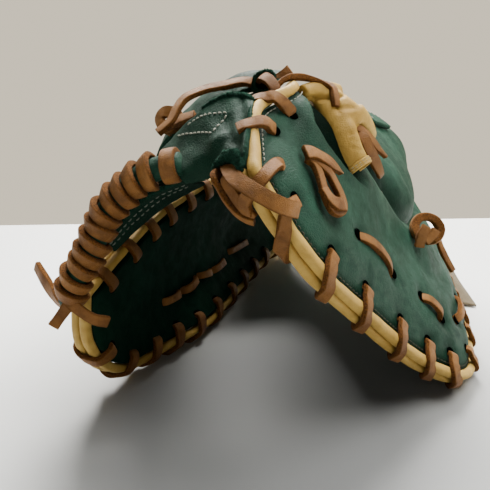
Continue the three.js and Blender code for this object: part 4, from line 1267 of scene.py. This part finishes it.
over_back([(0.062, 0.728), (0.072, 0.728), (0.080, 0.752), (0.090, 0.792), (0.100, 0.824), (0.113, 0.835),
           (0.124, 0.812), (0.126, 0.778), (0.119, 0.748), (0.106, 0.725), (0.092, 0.708), (0.075, 0.712),
           (0.062, 0.728)],
          [0.6, 1.3, 1.7, 1.9, 2.0, 2.0, 2.2, 2.4, 2.4, 2.4, 2.4, 2.0, 1.2], 120, 4.8, 2.3, 170,
          lean=(0.3, -0.1, 0.2))
over_back([(0.056, 0.735), (0.064, 0.712), (0.081, 0.680), (0.098, 0.650), (0.112, 0.626)],
          [2.0, 3.0, 3.4, 3.0, 2.2], 46, 6.0, 2.3, 172, taper=0.85)
over_back([(0.090, 0.812), (0.100, 0.828), (0.112, 0.820), (0.119, 0.800), (0.125, 0.785)],
          [2.6, 3.4, 4.0, 4.0, 3.2], 40, 5.6, 2.3, 173)
add_piece("slash_knot", folded, [LACE], ["slash_knot_lace"])

# The tan bridge: a roll, a padded body, two legs and a stitched cuff
BRIDGE = Shape()
TO_EYE = np.array((0.243, -0.908, 0.342))


def pad(path, out, widths, depths, power=0.8):
    """A stuffed form along a path, with widths and depths spread evenly along it."""
    t = shares(46)
    looks = unit(spline([out] * len(path), t))
    w = np.interp(t, shares(len(widths)), widths)
    d = np.interp(t, shares(len(depths)), depths)
    profile = round_profile(1.0, 1.0, 22, power)
    sweep(BRIDGE, spline(path, t), looks, profile, np.stack([w, d], 1), wear=0.2)


LEG_PATH = np.array(
    [(12.6, -43.4, 134.6), (14.6, -46.0, 129.2), (16.8, -47.1, 123.8), (19.4, -47.3, 118.6),
     (22.0, -46.6, 114.6)]
)
leg_look = unit(TO_EYE + (-0.1, 0, 0.1))
pad([(-4.7, -47.4, 146.2), (-1.7, -42.8, 146.4), (2.3, -38.4, 146.4), (6.4, -34.0, 146.2),
     (10.0, -30.0, 145.2)],
    TO_EYE, [7.4, 8.6, 8.8, 8.8, 7.6], [7.2, 8.2, 8.4, 8.4, 7.6], 0.95)
pad([(4.0, -38.6, 144.6), (7.6, -39.4, 140.8), (11.6, -40.6, 136.8), (15.4, -40.8, 133.0),
     (18.3, -40.0, 129.6)],
    TO_EYE + (0.1, 0, 0.35), [13.5, 16.5, 19.5, 20.0, 15.5], [7.6, 9.2, 9.8, 9.6, 8.0])
pad(LEG_PATH, leg_look, [12.4, 13.2, 13.2, 12.8, 12.6], [7.4, 8.0, 8.2, 7.8, 7.2])
pad([(18.6, -36.5, 137.0), (21.8, -33.3, 133.0), (24.6, -30.1, 128.6), (26.3, -27.0, 123.6)],
    TO_EYE + (0.3, 0, 0.2), [11.0, 10.0, 8.6, 6.5], [8.0, 7.6, 6.8, 5.4])
bridge = add_piece("finger_bridge_leather", BRIDGE, [TAN], ["finger_bridge"])
remesh = bridge.modifiers.new("blend", "REMESH")
remesh.mode = "VOXEL"
remesh.voxel_size = 0.0007
soften = bridge.modifiers.new("soften", "SMOOTH")
soften.factor = 0.5
soften.iterations = 22
bpy.context.view_layer.objects.active = bridge
for modifier in ("blend", "soften"):
    bpy.ops.object.modifier_apply(modifier=modifier)
bridge.data.polygons.foreach_set("use_smooth", [True] * len(bridge.data.polygons))


def dent_bridge():
    """Folds in the bridge's leather: under the roll, at the lace, and where the two legs part."""
    mesh = bridge.data
    points = np.empty(3 * len(mesh.vertices))
    mesh.vertices.foreach_get("co", points)
    points = points.reshape(-1, 3) * 1000 - ORIGIN
    normals = np.empty(3 * len(mesh.vertices))
    mesh.vertices.foreach_get("normal", normals)
    push = 0.16 * waves(points, 16, 201) + 0.06 * waves(points, 6, 202)
    facing = normals.reshape(-1, 3) @ unit(TO_EYE)
    flat = lambda p: p - np.outer(p @ unit(TO_EYE), unit(TO_EYE))
    for path, radius, height in (
        ([(-4.4, -49.0, 143.4), (1.0, -44.1, 143.0), (6.2, -39.3, 143.0), (11.0, -32.7, 142.6)], 1.1, -1.7),
        ([(11.2, -45.0, 140.2), (13.6, -41.5, 139.0), (16.8, -38.0, 138.4)], 1.2, -0.5),
        ([(12.0, -44.6, 137.6), (14.6, -41.6, 136.4), (18.4, -38.6, 136.6)], 1.5, 0.4),
        ([(11.0, -42.6, 146.0), (11.4, -44.0, 141.0), (12.0, -44.6, 137.8)], 1.3, -1.1),
        ([(21.7, -40.5, 130.0), (20.4, -42.6, 128.4), (17.4, -45.0, 127.2)], 1.1, -0.6),
        ([(21.7, -40.5, 131.0), (19.4, -41.6, 132.4), (17.2, -42.0, 134.6)], 1.2, -0.5),
        ([(22.0, -38.5, 129.0), (24.6, -34.0, 124.6), (26.8, -30.5, 120.0)], 2.2, -2.4),
        ([(18.6, -47.0, 121.6), (22.4, -45.6, 121.0)], 0.9, -0.3),
        ([(17.4, -46.8, 125.4), (21.4, -45.6, 124.6)], 1.0, -0.25),
    ):
        push += line_dents(flat(points), flat(np.array(path)), radius, height) * np.clip(2 * facing, 0, 1)
    points = points + normals.reshape(-1, 3) * push[:, None]
    mesh.vertices.foreach_set("co", ((points + ORIGIN) / 1000).ravel())
    mesh.update()


dent_bridge()

lace_piece(
    "bridge_lacing", [],
    ([(19.6, -39.8, 130.6), (22.6, -40.6, 129.4), (26.2, -37.6, 125.6), (30.0, -33.6, 120.6),
      (34.0, -29.5, 115.8)],
     unit(TO_EYE + (0.3, 0, 0.6)), 40, 4.2, 2.2, 180, 0.6),
    ([(20.0, -40.0, 128.8), (23.6, -43.2, 127.0), (26.4, -42.6, 121.6), (29.2, -39.6, 115.8),
      (31.8, -36.6, 110.4), (32.6, -34.2, 107.6)],
     unit(TO_EYE + (0.25, 0, 0.1)), 44, 5.2, 2.3, 181, 0.25),
)

# The cuff: three rings round the leg's end, with two rows of stitches between them
cuff, cuff_seam = Shape(), Shape()
cuff_along = unit(LEG_PATH[-1] - LEG_PATH[-2])
cuff_side = np.cross(cuff_along, leg_look)


def cuff_ring(along, half_width, half_depth):
    """An oval round the leg, that far past its end, and the way out at each of its points."""
    turn = np.linspace(0, 2 * np.pi, 60)[:, None]
    centre = LEG_PATH[-1] + cuff_along * along + leg_look * 0.2
    ring = centre + cuff_side * (np.cos(turn) * half_width) + leg_look * (np.sin(turn) * half_depth)
    return ring, unit(ring - centre)


for along, half_width in ((-0.2, 6.7), (1.0, 6.95), (2.1, 6.7)):
    sweep(cuff, *cuff_ring(along, half_width, 4.3), round_profile(1.25, 1.3, 10), wear=0.3)
for along in (0.4, 1.6):
    stitches(cuff_seam, *cuff_ring(along, 6.95, 4.45), 2.0, 1.3, 0.28)
add_piece("bridge_cuff", cuff, [TAN])
add_piece("bridge_stitching", cuff_seam, [THREAD])

# The strap over the wrist opening


def strap_height(u, w):
    """Height of the strap over the sheet: over each back, and bridging the opening between them."""
    finger = finger_height(u, np.maximum(w, BACK_START))
    thumb = thumb_height(u, np.minimum(w, -BACK_START))
    f = np.clip((w + BACK_START) / (2 * BACK_START), 0, 1)
    return thumb + (finger - thumb) * f + 3 * np.sin(np.pi * f)


def strap():
    """The closed strap, a little over both backs, with a row of stitches along each side."""
    u = np.linspace(0.812, 0.938, 26)[:, None]
    w = np.linspace(-0.29, 0.125, 90)[None]
    height = strap_height(u, w)
    top = off(u, w, height + GAP + 3.0)
    bottom = off(u, w, height + GAP)
    face = grid_normals(top)
    top = top + face * (0.35 * waves(top, 26, 91))[..., None]
    shape = Shape()
    slab(shape, top, bottom, (0, 0, 0), bulge=0.5)
    add_piece("wrist_strap_leather", shape, [GREEN], ["wrist_strap"])
    seams = Shape()
    for share in (0.09, 0.91):
        stitch_on(seams, top, face, [(share, 0.02), (share, 0.5), (share, 0.98)], 3.4)
    add_piece("strap_stitching", seams, [THREAD])


strap()

LINING_LINES = [
    [(81.5, 97.2, 20.0), (90.6, 81.0, 9.8), (99.2, 64.8, 2.4)],
    [(83.3, 80.6, 12.2), (91.6, 71.5, 6.9), (99.6, 63.7, 2.0)],
    [(85.3, 62.1, 4.0), (92.5, 62.1, 2.6), (100.1, 62.6, 1.7)],
]
web_sheet(
    "lining_point_suede", LINING_LINES, 24, 30, 1.6, ["lining_point"], 0.2, 95,
    material=SUEDE,
)

# Table, light and camera
FORWARD = np.array((-0.2432, 0.9077, -0.3420))
EYE = np.array((38.0, -305.0, 168.0)) + ORIGIN
SENSOR = 36.0
LENS = 41.14
# Two points on the table's far edge: how far ahead of the eye, and how far to the right of it
FAR_LEFT = (518, -231)
FAR_RIGHT = (541, 241)
TABLE_DEPTH = 2600


def look(obj, at, target):
    """Sets a camera or light at one point and turns it to another, both in millimetres."""
    obj.location = Vector([x / 1000 for x in at])
    way = Vector([float(b - a) for a, b in zip(at, target)])
    obj.rotation_euler = way.to_track_quat("-Z", "Y").to_euler()


camera = new_object("camera", bpy.data.cameras.new("camera"))
camera.data.sensor_width = SENSOR
camera.data.lens = LENS
camera.data.clip_start = 0.01
look(camera, EYE, EYE + FORWARD * 100)
bpy.context.scene.camera = camera


def table_top():
    """A white table top with a painted shadow: greyer round a point in front of the mitt."""
    material, tree = node_tree("table_top")
    pairs = ((0, add_node(tree, "TexCoord").outputs["Object"]), (1, (0.015, -0.120, 0.0)))
    away = add_node(tree, "VectorMath", pairs, operation="DISTANCE")
    # Painted shadow: dark grey at the point, white from 0.24 m away.
    painted_shadow = ramp(tree, away.outputs["Value"], 0.03, 0.24)
    surface(tree, mix(tree, painted_shadow, (0.20, 0.205, 0.205), (0.90, 0.91, 0.89)), 0.5)
    return material


ahead = unit(np.array((FORWARD[0], FORWARD[1], 0.0)))
right = np.array((ahead[1], -ahead[0], 0.0))
far_left, far_right = (EYE + ahead * a + right * b for a, b in (FAR_LEFT, FAR_RIGHT))
edge_way = unit(far_right - far_left)
edge_way[2] = 0
to_front = TABLE_DEPTH * np.array((edge_way[1], -edge_way[0], 0.0))
corner_a = far_left - edge_way * 1500
corner_b = far_left + edge_way * 1900
table = bpy.data.meshes.new("table")
table_corners = [corner_a, corner_b, corner_b + to_front, corner_a + to_front]
table.from_pydata([(c[0] / 1000, c[1] / 1000, -0.0002) for c in table_corners], [], [(3, 2, 1, 0)])
table.materials.append(table_top())
new_object("table", table)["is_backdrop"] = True


def area_light(name, at, target, size, power, colour):
    data = bpy.data.lights.new(name, "AREA")
    data.shape = "RECTANGLE"
    data.size, data.size_y = size
    data.energy = power
    data.color = colour
    look(new_object(name, data), at, target)


area_light("window", (-180, 560, 860), (10, -20, 60), (0.6, 0.6), 44.0, (1.0, 0.98, 0.94))
area_light("ceiling", (420, 60, 900), (20, 0, 60), (0.7, 0.7), 16.0, (1.0, 0.99, 0.96))
area_light("front_fill", (-200, -900, 620), (0, 0, 60), (0.9, 0.6), 0.8, (1.0, 0.99, 0.97))

WALL = (1.0, 0.89, 0.69)
OVERHEAD = (0.06, 0.06, 0.06)


def backdrop():
    """A pale wall ahead up to a little over the horizon, and a dim room over it and behind the camera."""
    world = bpy.data.worlds.new("studio")
    world.use_nodes = True
    bpy.context.scene.world = world
    tree = world.node_tree
    way = add_node(tree, "TexCoord").outputs["Generated"]
    parts = add_node(tree, "SeparateXYZ", [("Vector", way)])
    above = ramp(tree, parts.outputs["Z"], 0.08, 0.3)
    behind = ramp(tree, parts.outputs["Y"], 0.25, -0.35, 0.9)
    colour = mix(tree, maths(tree, "MAXIMUM", above, behind), WALL, OVERHEAD)
    background = tree.nodes["Background"]
    tree.links.new(colour, background.inputs["Color"])
    background.inputs["Strength"].default_value = 0.95


backdrop()

as_lists = lambda box: [[float(x) for x in point] for point in box]
{"cad": as_lists(cad_box), "visual": as_lists(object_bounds())}
